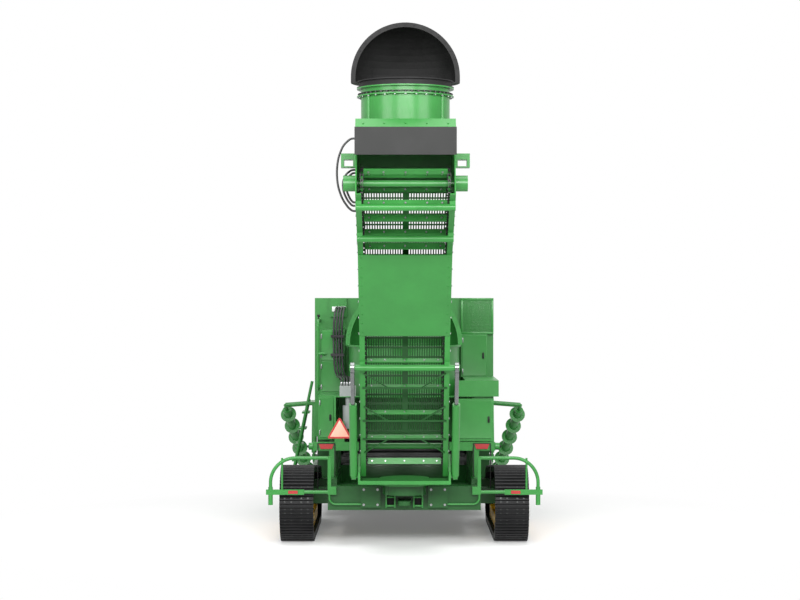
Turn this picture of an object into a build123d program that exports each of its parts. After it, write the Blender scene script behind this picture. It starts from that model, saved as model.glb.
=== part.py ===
"""Two-row sugarcane harvester on steel tracks, with a slewing billet elevator at its rear.

Millimetres. +Y is forward, +X is the machine's right, +Z is up. The origin is on the ground,
on the centre plane, midway between the rearmost and the foremost point.
"""

import os
from math import atan2, cos, hypot, pi, radians, sin, tan

from build123d import *

os.makedirs("parts", exist_ok=True)

# Overall
OVERALL_LENGTH = 13300.0
REAR_Y = -OVERALL_LENGTH / 2
FRONT_Y = OVERALL_LENGTH / 2
SEAT = 0.3  # gap where a curved piece lies on another
RUN = 6.0  # gap between pieces that move past each other
SIDES = ((-1, "left"), (1, "right"))  # sign of X, word

# Tracks
GAUGE = 3000.0
SHOE_WIDTH = 470.0
SHOE_PITCH = 171.0
GROUSER_HEIGHT = 28.0
GROUSERS_PER_SHOE = 3
BELT_DEPTH = 100.0  # grouser tip to the inside of the links
SPROCKET_R = 535.0  # to the grouser tips
IDLER_R = 430.0
TRACK_REAR_Y = -2250.0
TRACK_LENGTH = 3400.0
SPROCKET_Y = TRACK_REAR_Y + SPROCKET_R
IDLER_Y = TRACK_REAR_Y + TRACK_LENGTH - IDLER_R
TRACK_FRAME_WIDTH = 250.0
ROLLER_R = 105.0
ROLLER_COUNT = 6

# Main frame
RAIL_X = 940.0  # inner face of each rail
RAIL_WIDTH = 120.0
RAIL_Z = (560.0, 900.0)
RAIL_REAR_Y = -2050.0
THROAT_X = 1330.0  # inner face of each throat wall
THROAT_Y = (1500.0, 4200.0)
THROAT_WALL = 24.0
DIVIDER_HINGE = (3900.0, 750.0)  # y, z
DIVIDER_PIN_R = 45.0
DIVIDER_X = 1510.0  # middle of each crop divider's plate
DIVIDER_PLATE = 30.0
DECK_Z = 1360.0  # top of the throat, which carries the engine and the cab
AXLE_SIZE = 220.0
AXLE_Z = 480.0
AXLE_YS = (-1150.0, 330.0)
BELLY_Z = 430.0
PLATE = 12.0

# Slewing elevator
ELEVATOR_REACH = 4200.0  # slew axis to the back of the bin flap
SLEW_Y = REAR_Y + ELEVATOR_REACH
SLEW_Z = (850.0, 900.0)
TABLE_TOP_Z = 955.0
ELEVATOR_WIDTH = 1185.0  # over the side plates
SIDE_PLATE = 14.0
ELEVATOR_DEPTH = 800.0  # underside to top edge
# underside, as (distance behind the slew axis, height)
ELEVATOR_UNDERSIDE = ((300.0, 1000.0), (1480.0, 2940.0), (2520.0, 3970.0), (4100.0, 4640.0))
LIFT_PIN_ALONG = 120.0
LIFT_PIN_IN = 200.0
LIFT_PIN_R = 35.0
RETURN_RUN = 120.0  # underside to the return run of the chain
CHAIN_R = 170.0  # head and tail sprockets
CHAIN_WIDTH = 40.0
CHAIN_DEPTH = 36.0
SLAT_HEIGHT = 85.0
SLAT_THICK = 14.0
SLAT_PITCH = 420.0
FLOOR_THICK = 8.0

# Extractors
PRIMARY_Y = -900.0
PRIMARY_R = 800.0
PRIMARY_HOOD_R = 840.0
PRIMARY_Z = (2020.0, 2740.0)
SECONDARY_R = 535.0
SECONDARY_HOOD_R = 650.0
SECONDARY_BACK = 3430.0  # slew axis to the extractor's axis
SECONDARY_Z = (5540.0, 5950.0)
HOOD_WALL = 12.0


def block(x, y, z, mode=Mode.ADD):
    """A box between a low and a high value on each axis."""
    with Locations(((x[0] + x[1]) / 2, (y[0] + y[1]) / 2, (z[0] + z[1]) / 2)):
        Box(abs(x[1] - x[0]), abs(y[1] - y[0]), abs(z[1] - z[0]), mode=mode)


def drum(centre, radius, length, axis="z", mode=Mode.ADD):
    """A cylinder centred on a point, along one of the main axes."""
    turn = {"x": (0, 90, 0), "y": (90, 0, 0), "z": (0, 0, 0)}[axis]
    with Locations(centre):
        Cylinder(radius, length, rotation=turn, mode=mode)


def side_profile(points, x0, x1, mode=Mode.ADD):
    """A plate whose (y, z) outline runs across the machine from x0 to x1."""
    with BuildSketch(Plane.YZ.offset(min(x0, x1))) as outline:
        with BuildLine():
            Polyline(*points, close=True)
        make_face()
    extrude(outline.sketch, amount=abs(x1 - x0), mode=mode)


def tube(points, bend, radius, mode=Mode.ADD):
    """A round bar along straight runs with rounded corners."""
    with BuildLine() as route:
        FilletPolyline(*points, radius=bend)
    with BuildSketch(Plane(origin=route.line @ 0, z_dir=route.line % 0)) as section:
        Circle(radius)
    sweep(section.sketch, path=route.line, mode=mode)


def rod(start, end, radius, mode=Mode.ADD):
    """A straight round bar between two points."""
    along = Vector(*end) - Vector(*start)
    with BuildSketch(Plane(origin=start, z_dir=along)) as section:
        Circle(radius)
    extrude(section.sketch, amount=along.length, mode=mode)


def hose(points, radius):
    """A hose along hand-chosen points, each bend as large as its two runs allow."""
    runs = [Vector(*end) - Vector(*start) for start, end in zip(points, points[1:])]
    bends = [
        0.45 * min(first.length, second.length) / tan(radians(first.get_angle(second)) / 2)
        for first, second in zip(runs, runs[1:])
    ]
    tube(points, bends, radius)
    print("smallest hose bend", round(min(bends)))


def save(builder, name):
    """Labels a finished piece and writes it."""
    builder.part.label = name
    export_step(builder.part, f"parts/{name}.step")


# Tracks: one loop of triple-grouser shoes round a large sprocket and a smaller idler
def loop_point(along, depth):
    """The (y, z) point a given way round the loop, a given depth inside the grouser tips."""
    span = IDLER_Y - SPROCKET_Y
    lean = 2 * atan2(SPROCKET_R - IDLER_R, span)
    runs = (span, IDLER_R * (pi - lean), span, SPROCKET_R * (pi + lean))
    along %= sum(runs)
    if along < runs[0]:
        return SPROCKET_Y + along, depth
    along -= runs[0]
    if along < runs[1]:
        turn = along / IDLER_R
        return IDLER_Y + (IDLER_R - depth) * sin(turn), IDLER_R - (IDLER_R - depth) * cos(turn)
    along -= runs[1]
    if along < runs[2]:
        turn = pi - lean
        y = IDLER_Y + (IDLER_R - depth) * sin(turn)
        z = IDLER_R - (IDLER_R - depth) * cos(turn)
        return y + along * cos(turn), z + along * sin(turn)
    along -= runs[2]
    turn = pi - lean + along / SPROCKET_R
    return SPROCKET_Y + (SPROCKET_R - depth) * sin(turn), SPROCKET_R - (SPROCKET_R - depth) * cos(turn)


LOOP_LENGTH = (
    2 * (IDLER_Y - SPROCKET_Y)
    + pi * (IDLER_R + SPROCKET_R)
    + 2 * atan2(SPROCKET_R - IDLER_R, IDLER_Y - SPROCKET_Y) * (SPROCKET_R - IDLER_R)
)
SHOE_COUNT = round(LOOP_LENGTH / SHOE_PITCH)
# share of one grouser's pitch, share of its height cut away
GROUSER_FORM = ((0.0, 1.0), (0.44, 1.0), (0.56, 0.0), (0.74, 0.0))


def track(side, word):
    steps = SHOE_COUNT * GROUSERS_PER_SHOE
    pitch = LOOP_LENGTH / steps
    outer = [
        loop_point((step + share) * pitch, cut * GROUSER_HEIGHT)
        for step in range(steps)
        for share, cut in GROUSER_FORM
    ]
    inner = [loop_point(step * LOOP_LENGTH / SHOE_COUNT, BELT_DEPTH) for step in range(SHOE_COUNT)]
    low = side * GAUGE / 2 - SHOE_WIDTH / 2
    with BuildPart() as loop:
        side_profile(outer, low, low + SHOE_WIDTH)
        side_profile(inner, low, low + SHOE_WIDTH, mode=Mode.SUBTRACT)
    save(loop, f"track_{word}")


for side, word in SIDES:
    track(side, word)


# Track frames: box beam, drive sprocket, idler and rollers
def track_frame(side, word):
    x0 = side * GAUGE / 2
    half = TRACK_FRAME_WIDTH / 2
    inside = BELT_DEPTH + SEAT
    beam_z = (inside + ROLLER_R, inside + ROLLER_R + 300)
    roller_step = (IDLER_Y - SPROCKET_Y) / (ROLLER_COUNT + 1)
    with BuildPart() as frame:
        side_profile(
            (
                (SPROCKET_Y, beam_z[0] + 40),
                (SPROCKET_Y + 300, beam_z[0]),
                (IDLER_Y - 200, beam_z[0]),
                (IDLER_Y, beam_z[0] + 60),
                (IDLER_Y, beam_z[1] - 60),
                (IDLER_Y - 130, beam_z[1]),
                (AXLE_YS[1] + AXLE_SIZE / 2, AXLE_Z + AXLE_SIZE),
                (AXLE_YS[0] - AXLE_SIZE / 2, AXLE_Z + AXLE_SIZE),
                (SPROCKET_Y, beam_z[1] + 120),
            ),
            x0 - half,
            x0 + half,
        )
        for index in range(1, ROLLER_COUNT + 1):
            y = SPROCKET_Y + index * roller_step
            drum((x0, y, inside + ROLLER_R), ROLLER_R, SHOE_WIDTH - 90, "x")
        for y, radius in ((SPROCKET_Y, SPROCKET_R), (IDLER_Y, IDLER_R)):
            wheel_r = (radius - BELT_DEPTH) * cos(pi / SHOE_COUNT * 1.2) - 6
            drum((x0, y, radius), wheel_r, 90, "x")
            drum((x0, y, radius), wheel_r - 55, 90, "x", Mode.SUBTRACT)
            drum((x0, y, radius), wheel_r - 50, 40, "x")
            drum((x0, y, radius), 150, SHOE_WIDTH - 120, "x")
    save(frame, f"track_frame_{word}")


for side, word in SIDES:
    track_frame(side, word)

# Axle beams from the main rails into the track frames
with BuildPart() as axles:
    for side, word in SIDES:
        near = side * (RAIL_X + RAIL_WIDTH)
        far = side * (GAUGE / 2 - TRACK_FRAME_WIDTH / 2)
        for y in AXLE_YS:
            block((near, far), (y - AXLE_SIZE / 2, y + AXLE_SIZE / 2), (AXLE_Z, AXLE_Z + AXLE_SIZE))
save(axles, "track_axles")

# Main frame: two rails between the tracks, a wider throat ahead of them, belly and cross beams
CROSS_YS = (-1900.0, -1150.0, 330.0)
CROSS_HEIGHT = 200.0
BULKHEAD = 60.0
FEED_REAR_Y = -90.0
FEED_HALF = 800.0
FEED_Z = (640.0, 1240.0)
ROLLER_Y = 4480.0  # knockdown roller
ROLLER_Z = 850.0
ROLLER_ARM = 110.0
ROLLER_PIN_R = 30.0
POST = 60.0
POST_YS = (-1560.0, -700.0)
BODY_Z = 1400.0  # underside of the cabinets beside the rails
RAIL_OUT = RAIL_X + RAIL_WIDTH
WALL_OUT = THROAT_X + THROAT_WALL
with BuildPart() as main_frame:
    for side, word in SIDES:
        block((side * RAIL_X, side * RAIL_OUT), (RAIL_REAR_Y, THROAT_Y[0]), RAIL_Z)
        block((side * RAIL_X, side * (RAIL_X + THROAT_WALL)), (FEED_REAR_Y, THROAT_Y[0]), (RAIL_Z[1], DECK_Z))
        side_profile(
            (
                (THROAT_Y[0], BELLY_Z),
                (THROAT_Y[1] - 900, BELLY_Z),
                (ROLLER_Y, ROLLER_Z - ROLLER_ARM),
                (ROLLER_Y + ROLLER_ARM, ROLLER_Z),
                (ROLLER_Y, ROLLER_Z + ROLLER_ARM),
                (THROAT_Y[1], DECK_Z),
                (THROAT_Y[0], DECK_Z),
            ),
            side * THROAT_X,
            side * WALL_OUT,
        )
        for y in POST_YS:
            block((side * (RAIL_OUT - POST), side * RAIL_OUT), (y, y + POST), (RAIL_Z[1], BODY_Z))
        drum((side * (WALL_OUT - 45), ROLLER_Y, ROLLER_Z), ROLLER_PIN_R, 90, "x")
        pin_end = DIVIDER_X + DIVIDER_PLATE
        drum((side * (THROAT_X + pin_end) / 2, *DIVIDER_HINGE), DIVIDER_PIN_R, pin_end - THROAT_X, "x")
    for y in CROSS_YS:
        block((-RAIL_X, RAIL_X), (y - 80, y + 80), (RAIL_Z[0], RAIL_Z[0] + CROSS_HEIGHT))
    block((-WALL_OUT, WALL_OUT), (THROAT_Y[0], THROAT_Y[0] + BULKHEAD), (BELLY_Z, DECK_Z))
    block((-FEED_HALF, FEED_HALF), (THROAT_Y[0] - 5, THROAT_Y[0] + BULKHEAD + 5), FEED_Z, Mode.SUBTRACT)
    block((-RAIL_OUT, RAIL_OUT), (FEED_REAR_Y, THROAT_Y[0]), (DECK_Z - THROAT_WALL, DECK_Z))
    block((-WALL_OUT, WALL_OUT), THROAT_Y, (DECK_Z - THROAT_WALL, DECK_Z))
    block((-RAIL_OUT, RAIL_OUT), (RAIL_REAR_Y, 400), (RAIL_Z[0] - PLATE, RAIL_Z[0]))
save(main_frame, "main_frame")

# Rear cross beam with the slew pivot and the tow clevis
TOW_BORE_R = 32.0
TOW_Z = 620.0
TOW_THICK = 60.0
REAR_BEAM_Y = (RAIL_REAR_Y - 230.0, RAIL_REAR_Y)
BRACKET_X = (330.0, 600.0)
BRACKET_PROUD = 70.0
BRACKET_Z = (530.0, 820.0)
with BuildPart() as rear_beam:
    block((-RAIL_X - RAIL_WIDTH, RAIL_X + RAIL_WIDTH), REAR_BEAM_Y, (BELLY_Z + 60, SLEW_Z[0] - 30))
    block((-260, 260), (SLEW_Y - 200, REAR_BEAM_Y[0]), (SLEW_Z[0] - 120, SLEW_Z[0]))
    drum((0, SLEW_Y, (SLEW_Z[0] - 120 + SLEW_Z[0]) / 2), 300, 120)
    drum((0, SLEW_Y, SLEW_Z[0] + 40), 90, 80)
    block((-90, 90), (REAR_BEAM_Y[0] - 330, REAR_BEAM_Y[0]), (TOW_Z - TOW_THICK / 2, TOW_Z + TOW_THICK / 2))
    drum((0, REAR_BEAM_Y[0] - 330, TOW_Z), 90, TOW_THICK)
    drum((0, REAR_BEAM_Y[0] - 330, TOW_Z), TOW_BORE_R, TOW_THICK, mode=Mode.SUBTRACT)
    for side, word in SIDES:
        bracket_x = (side * BRACKET_X[0], side * BRACKET_X[1])
        block(bracket_x, (REAR_BEAM_Y[0] - BRACKET_PROUD, REAR_BEAM_Y[0]), BRACKET_Z)
save(rear_beam, "rear_beam")


# Elevator: the profile is the underside polyline, offset towards its top edge
def elevator_line(depth, start=0.0, end=0.0):
    """(y, z) points of the underside moved in by a depth, with its ends shortened."""
    points = [Vector(r, z) for r, z in ELEVATOR_UNDERSIDE]
    along = [(b - a).normalized() for a, b in zip(points, points[1:])]
    normal = [Vector(-u.Y, u.X) for u in along]
    moved = [points[0] + normal[0] * depth + along[0] * start]
    for point, first, second in zip(points[1:-1], normal, normal[1:]):
        moved.append(point + (first + second) * (depth / (1 + first.dot(second))))
    moved.append(points[-1] + normal[-1] * depth - along[-1] * end)
    return [(SLEW_Y - p.X, p.Y) for p in moved]


def elevator_strip(low, high, start=0.0, end=0.0):
    """Outline of a bent sheet between two depths of the elevator."""
    return elevator_line(low, start, end) + elevator_line(high, start, end)[::-1]


HALF_WIDTH = ELEVATOR_WIDTH / 2
INSIDE = HALF_WIDTH - SIDE_PLATE
LIFT_PIN = elevator_line(LIFT_PIN_IN, LIFT_PIN_ALONG)[0]
LIP = 70.0
HEAD_BRACKET_Y = SLEW_Y - 3500.0
HEAD_BRACKET = (180.0, 200.0, 167.0)  # out, along, high
HEAD_BRACKET_Z = 4990.0
HEAD_HOLE = (110.0, 80.0)  # across, high
HEAD_HOLE_WALL = 14.0
for side, word in SIDES:
    with BuildPart() as plate:
        bracket_y = (HEAD_BRACKET_Y - HEAD_BRACKET[1] / 2, HEAD_BRACKET_Y + HEAD_BRACKET[1] / 2)
        block(
            (side * INSIDE, side * (HALF_WIDTH + HEAD_BRACKET[0])),
            bracket_y,
            (HEAD_BRACKET_Z, HEAD_BRACKET_Z + HEAD_BRACKET[2]),
        )
        hole_x = HALF_WIDTH + (HEAD_BRACKET[0] - HEAD_HOLE[0]) / 2
        hole_z = HEAD_BRACKET_Z + HEAD_HOLE_WALL
        block(
            (side * hole_x, side * (hole_x + HEAD_HOLE[0])),
            (bracket_y[0] - PLATE, bracket_y[1] + PLATE),
            (hole_z, hole_z + HEAD_HOLE[1]),
            Mode.SUBTRACT,
        )
        side_profile(elevator_strip(0, ELEVATOR_DEPTH), side * INSIDE, side * HALF_WIDTH)
        side_profile(elevator_strip(0, PLATE), side * (HALF_WIDTH - LIP), side * INSIDE)
        pin_x = side * (INSIDE + HALF_WIDTH) / 2
        drum((pin_x, *LIFT_PIN), LIFT_PIN_R + SEAT, SIDE_PLATE * 2, "x", Mode.SUBTRACT)
    save(plate, f"elevator_side_{word}")

TAIL_BACK = 300.0  # foot to the tail shaft, and head shaft to the end
FLOOR_IN = RETURN_RUN + CHAIN_R
with BuildPart() as floor:
    reach = TAIL_BACK + CHAIN_R + 60
    side_profile(
        elevator_strip(FLOOR_IN - FLOOR_THICK / 2, FLOOR_IN + FLOOR_THICK / 2, reach, reach), -INSIDE, INSIDE
    )
save(floor, "elevator_floor")

# Chain: a loop each side, with slats from one to the other
CHAIN_X = 520.0
SLAT_REACH = CHAIN_X - CHAIN_WIDTH / 2
EASE = 0.1  # keeps the two fillets of one sprocket apart
run_in = elevator_line(RETURN_RUN, TAIL_BACK - CHAIN_R, TAIL_BACK - CHAIN_R)
run_out = elevator_line(RETURN_RUN + 2 * CHAIN_R, TAIL_BACK - CHAIN_R, TAIL_BACK - CHAIN_R)
CHAIN_BEND = 300.0
CHAIN_RADII = ((CHAIN_R - EASE, CHAIN_BEND, CHAIN_BEND, CHAIN_R - EASE) * 2)
with BuildPart() as chain:
    for side, word in SIDES:
        with BuildSketch(Plane.YZ.offset(side * CHAIN_X - CHAIN_WIDTH / 2)) as strand:
            with BuildLine() as pitch_line:
                FilletPolyline(*run_in, *run_out[::-1], radius=CHAIN_RADII, close=True)
            make_face()
            offset(amount=CHAIN_DEPTH / 2)
            offset(amount=-CHAIN_DEPTH, mode=Mode.SUBTRACT)
        extrude(strand.sketch, amount=CHAIN_WIDTH)
save(chain, "elevator_chain")

with BuildLine(Plane.YZ) as pitch_line:
    FilletPolyline(*run_in, *run_out[::-1], radius=CHAIN_RADII, close=True)
loop = pitch_line.wire()
slat_count = round(loop.length / SLAT_PITCH)
with BuildPart() as slats:
    for index in range(slat_count):
        point, along = loop @ (index / slat_count), loop % (index / slat_count)
        out = Vector(0, -along.Z, along.Y)
        with Locations(Plane(origin=point + out * (SLAT_HEIGHT / 2), x_dir=(1, 0, 0), z_dir=out)):
            Box(2 * SLAT_REACH, SLAT_THICK, SLAT_HEIGHT)
save(slats, "elevator_slats")


def elevator_point(segment, along, depth):
    """(y, z) at a distance along one stretch of the underside and a depth in from it."""
    (r0, z0), (r1, z1) = ELEVATOR_UNDERSIDE[segment : segment + 2]
    u = Vector(r1 - r0, z1 - z0).normalized()
    return SLEW_Y - (r0 + u.X * along - u.Y * depth), z0 + u.Y * along + u.X * depth


# Cross bars under the elevator, on saddles below the side plates
BAR_R = 42.0
BAR_DROP = 55.0
BARREL_R = 52.0
EAR = 30.0
EAR_X = HALF_WIDTH + RUN
LIFT_X = EAR_X + EAR + BARREL_R + RUN  # centre plane of each lift cylinder
MAIN_BAR = (0, 1800.0, LIFT_X + 40 - HALF_WIDTH)
# stretch of the underside, distance along it, reach past the side plates
CROSS_BARS = (MAIN_BAR, (2, 590.0, 0.0), (2, 1480.0, 0.0))
with BuildPart() as cross_bars:
    for stretch, along, past in CROSS_BARS:
        drum((0, *elevator_point(stretch, along, -BAR_DROP)), BAR_R, ELEVATOR_WIDTH + 2 * past, "x")
        saddle = [
            elevator_point(stretch, along + step, depth)
            for step, depth in ((-60, 0), (60, 0), (30, -BAR_DROP), (-30, -BAR_DROP))
        ]
        for side, word in SIDES:
            side_profile(saddle, side * (HALF_WIDTH - LIP), side * HALF_WIDTH)
save(cross_bars, "elevator_cross_bars")

with BuildPart() as cover:
    side_profile(elevator_line(-PLATE)[1:3] + elevator_line(0)[2:0:-1], -HALF_WIDTH, HALF_WIDTH)
save(cover, "elevator_cover")

# Head and tail shafts, with sprockets inside and motors outside
MOTOR_R = 95.0
MOTOR_LENGTH = 150.0
HEAD_STRETCH = hypot(
    ELEVATOR_UNDERSIDE[3][0] - ELEVATOR_UNDERSIDE[2][0], ELEVATOR_UNDERSIDE[3][1] - ELEVATOR_UNDERSIDE[2][1]
)
HEAD = elevator_point(2, HEAD_STRETCH - TAIL_BACK, FLOOR_IN)
TAIL = elevator_point(0, TAIL_BACK, FLOOR_IN)
HEAD_HOSE_R = 13.0
# distance behind the slew axis, then (out of the left side plate, height) along each hose's loop
HEAD_HOSES = (
    (
        3300.0,
        (
            (0, 5360),
            (70, 5360),
            (160, 5280),
            (222, 5130),
            (242, 4950),
            (225, 4770),
            (170, 4620),
            (100, 4520),
            (50, 4480),
            (0, 4480),
        ),
    ),
    (
        3350.0,
        ((0, 4975), (60, 4975), (135, 4915), (168, 4815), (156, 4705), (105, 4600), (50, 4540), (0, 4540)),
    ),
    (
        3390.0,
        ((0, 4935), (45, 4935), (100, 4885), (128, 4795), (112, 4700), (72, 4615), (38, 4580), (0, 4580)),
    ),
)
with BuildPart() as drive:
    for centre in (HEAD, TAIL):
        drum((0, *centre), 40, 2 * INSIDE, "x")
        for side, word in SIDES:
            drum((side * CHAIN_X, *centre), CHAIN_R - CHAIN_DEPTH / 2 - SEAT, 24, "x")
    for side, word in SIDES:
        drum((side * (HALF_WIDTH + MOTOR_LENGTH / 2), *HEAD), MOTOR_R, MOTOR_LENGTH, "x")
    for y, route in HEAD_HOSES:
        hose([(-HALF_WIDTH - out, SLEW_Y - y, z) for out, z in route], HEAD_HOSE_R)
save(drive, "elevator_drive")

# Slew table: turns on the post of the rear beam and carries the elevator between two ears
POST_R = 90.0
CYLINDER_FOOT = (SLEW_Y - 450.0, 1010.0)
TABLE_Z = (SLEW_Z[0] + RUN, TABLE_TOP_Z)
with BuildPart() as table:
    drum((0, SLEW_Y, sum(TABLE_Z) / 2), 340, TABLE_Z[1] - TABLE_Z[0])
    block((-EAR_X - EAR, EAR_X + EAR), (SLEW_Y - 520, SLEW_Y - 60), (TABLE_Z[1] - 50, TABLE_Z[1]))
    drum((0, SLEW_Y, TABLE_Z[0] + 40), POST_R + SEAT, 80, mode=Mode.SUBTRACT)
    for side, word in SIDES:
        side_profile(
            (
                (SLEW_Y - 520, TABLE_Z[1] - 50),
                (SLEW_Y - 60, TABLE_Z[1] - 50),
                (LIFT_PIN[0] + 90, LIFT_PIN[1] + 60),
                (LIFT_PIN[0] - 60, LIFT_PIN[1] + 90),
                (SLEW_Y - 400, CYLINDER_FOOT[1] + 60),
                (SLEW_Y - 520, CYLINDER_FOOT[1] + 60),
            ),
            side * EAR_X,
            side * (EAR_X + EAR),
        )
        drum((side * (EAR_X + EAR / 2 - 12), *LIFT_PIN), LIFT_PIN_R, EAR + 24, "x")
        drum((side * (EAR_X + EAR + LIFT_X + 40) / 2, *CYLINDER_FOOT), 22, LIFT_X + 40 - EAR_X - EAR, "x")
save(table, "slew_table")

# Lift cylinders, one each side, from the slew table to the ends of the main cross bar
LIFT_ROD_R = 28.0
foot = Vector(0, *CYLINDER_FOOT)
eye = Vector(0, *elevator_point(MAIN_BAR[0], MAIN_BAR[1], -BAR_DROP))
reach = (eye - foot).normalized()
BARREL_LENGTH = 1150.0
with BuildPart() as barrels:
    for side, word in SIDES:
        across = Vector(side * LIFT_X, 0, 0)
        drum(tuple(across + foot), 45, 60, "x")
        rod(tuple(across + foot + reach * 20), tuple(across + foot + reach * BARREL_LENGTH), BARREL_R)
        drum(tuple(across + foot), 22 + SEAT, 2 * BARREL_R, "x", Mode.SUBTRACT)
        rod(
            tuple(across + foot + reach * 200),
            tuple(across + foot + reach * (BARREL_LENGTH + 5)),
            LIFT_ROD_R + SEAT,
            Mode.SUBTRACT,
        )
save(barrels, "lift_barrels")

EYE_GAP = 4.5  # the open pivot of the linkage
with BuildPart() as rods:
    for side, word in SIDES:
        across = Vector(side * LIFT_X, 0, 0)
        rod(
            tuple(across + foot + reach * (BARREL_LENGTH - 500)),
            tuple(across + eye - reach * 50),
            LIFT_ROD_R,
        )
        drum(tuple(across + eye), BAR_R + 28, 50, "x")
        drum(tuple(across + eye), BAR_R + EYE_GAP, 60, "x", Mode.SUBTRACT)
save(rods, "lift_rods")


# Extractors
def ring(centre, outer, inner, low, high):
    """A round wall or flange about an upright axis."""
    with BuildSketch(Plane.XY.offset(low)) as outline:
        with Locations(centre):
            Circle(outer)
            Circle(inner, mode=Mode.SUBTRACT)
    extrude(outline.sketch, amount=high - low)


RIM_OUT = 8.0  # the rim and the sill stand this far out of the dome
RIM_DEPTH = 26.0
DOME_BANDS = 12  # rolled bands from the skirt to the crown


def hood(name, centre, base_z, radius, collar_r, collar, skirt, rim):
    """A half dome with an upright skirt on a turning collar, its mouth to the rear."""
    x, y = centre
    sill_z = base_z + collar
    spring_z = sill_z + skirt
    turns = [radians(90 * band / DOME_BANDS) for band in range(DOME_BANDS)]
    lip, mouth = radius + RIM_OUT, radius - rim
    with BuildPart() as dome:
        with BuildSketch(Plane.XZ.offset(-y)) as section:
            with BuildLine():
                foot_z = sill_z - HOOD_WALL / 2
                outer, inner = (
                    [
                        (x + size, foot_z),
                        *((x + size * cos(turn), spring_z + size * sin(turn)) for turn in turns),
                        (x, spring_z + size),
                    ]
                    for size in (radius, radius - HOOD_WALL)
                )
                Polyline(*outer, *inner[::-1], close=True)
            make_face()
        revolve(section.sketch, axis=Axis((x, y, 0), (0, 0, 1)), revolution_arc=180)
        with BuildSketch(Plane.XZ.offset(-y - RIM_DEPTH / 4)) as arch:
            with BuildLine():
                Line((x + lip, sill_z), (x + lip, spring_z))
                CenterArc((x, spring_z), lip, 0, 180)
                Polyline((x - lip, spring_z), (x - lip, sill_z), (x - mouth, sill_z), (x - mouth, spring_z))
                CenterArc((x, spring_z), mouth, 180, -180)
                Polyline((x + mouth, spring_z), (x + mouth, sill_z), (x + lip, sill_z))
            make_face()
        extrude(arch.sketch, amount=RIM_DEPTH)
        with BuildSketch(Plane.XY.offset(sill_z - HOOD_WALL)) as sill:
            with Locations((x, y)):
                Circle(lip)
                with Locations((0, -lip - RIM_DEPTH)):
                    Rectangle(2 * lip, 2 * lip, mode=Mode.SUBTRACT)
                Circle(collar_r)
                Circle(collar_r - rim, mode=Mode.SUBTRACT)
        extrude(sill.sketch, amount=HOOD_WALL)
        if collar > HOOD_WALL:
            ring(centre, collar_r - rim + HOOD_WALL, collar_r - rim, base_z, sill_z)
            ring(centre, collar_r, collar_r - rim, base_z, base_z + HOOD_WALL)
    save(dome, name)


# Secondary extractor: a box over the elevator's end, a round wall, a turning hood and a fan
SECONDARY_Y = SLEW_Y - SECONDARY_BACK
SECONDARY_WALL = 12.0
FLANGE_R = SECONDARY_R + 50.0
FLANGE_THICK = 14.0
BOX_TOP_Z = SECONDARY_Z[0]
HINGE_Y = SLEW_Y - 4150.0
HINGE_Z = 5400.0
HINGE_PIN_R = 10.0
edge_front = elevator_point(2, 120, ELEVATOR_DEPTH)
edge_rear = elevator_line(ELEVATOR_DEPTH)[-1]
BOX_OUTLINE = (
    edge_front,
    edge_rear,
    (HINGE_Y + 40, HINGE_Z - 22),
    (HINGE_Y + 40, HINGE_Z + 22),
    (HINGE_Y + 160, BOX_TOP_Z),
    (edge_front[0] - 60, BOX_TOP_Z),
)
BOX_HOLLOW = (
    (edge_front[0] - 30, edge_front[1] - 60),
    (HINGE_Y + 40 + PLATE, HINGE_Z - 60),
    (HINGE_Y + 40 + PLATE, HINGE_Z + 12),
    (HINGE_Y + 160 + PLATE, BOX_TOP_Z - PLATE),
    (edge_front[0] - 60 - PLATE, BOX_TOP_Z - PLATE),
)
RIB_ANGLES = (35, 145, 215, 325)
SECONDARY_FAN_Z = SECONDARY_Z[0] + 230
with BuildPart() as secondary:
    side_profile(BOX_OUTLINE, -HALF_WIDTH, HALF_WIDTH)
    side_profile(BOX_HOLLOW, -INSIDE, INSIDE, Mode.SUBTRACT)
    drum((0, SECONDARY_Y, BOX_TOP_Z), SECONDARY_R - SECONDARY_WALL, 4 * PLATE, mode=Mode.SUBTRACT)
    ring((0, SECONDARY_Y), SECONDARY_R, SECONDARY_R - SECONDARY_WALL, BOX_TOP_Z - PLATE, SECONDARY_Z[1])
    for low in (SECONDARY_Z[1] - FLANGE_THICK, SECONDARY_Z[1] - 110):
        ring((0, SECONDARY_Y), FLANGE_R, SECONDARY_R - SECONDARY_WALL, low, low + FLANGE_THICK)
    for angle in RIB_ANGLES:
        foot_x, foot_y = SECONDARY_R * cos(radians(angle)), SECONDARY_R * sin(radians(angle))
        rib_y = SECONDARY_Y + foot_y
        rod((foot_x, rib_y, BOX_TOP_Z - 4), (foot_x, rib_y, SECONDARY_Z[1] - 100), 22)
    drum((0, SECONDARY_Y, SECONDARY_FAN_Z - 130), 34, 2 * (SECONDARY_R - SECONDARY_WALL / 2), "x")
    drum((0, SECONDARY_Y, SECONDARY_FAN_Z - 100), 75, 80)
    drum((0, SECONDARY_Y, SECONDARY_FAN_Z), 20, 160)
    for side, word in SIDES:
        side_profile(
            (
                (HINGE_Y + 60, HINGE_Z - 22),
                (HINGE_Y + 60, HINGE_Z + 22),
                (HINGE_Y - 20, HINGE_Z + 22),
                (HINGE_Y - 20, HINGE_Z - 22),
            ),
            side * INSIDE,
            side * HALF_WIDTH,
        )
    drum((0, HINGE_Y, HINGE_Z), HINGE_PIN_R, ELEVATOR_WIDTH, "x")
save(secondary, "secondary_extractor")

SECONDARY_COLLAR = 80.0
SECONDARY_SKIRT = 60.0
SECONDARY_RIM = 48.0
hood(
    "secondary_hood",
    (0, SECONDARY_Y),
    SECONDARY_Z[1] + SEAT,
    SECONDARY_HOOD_R,
    FLANGE_R,
    SECONDARY_COLLAR,
    SECONDARY_SKIRT,
    SECONDARY_RIM,
)


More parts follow.
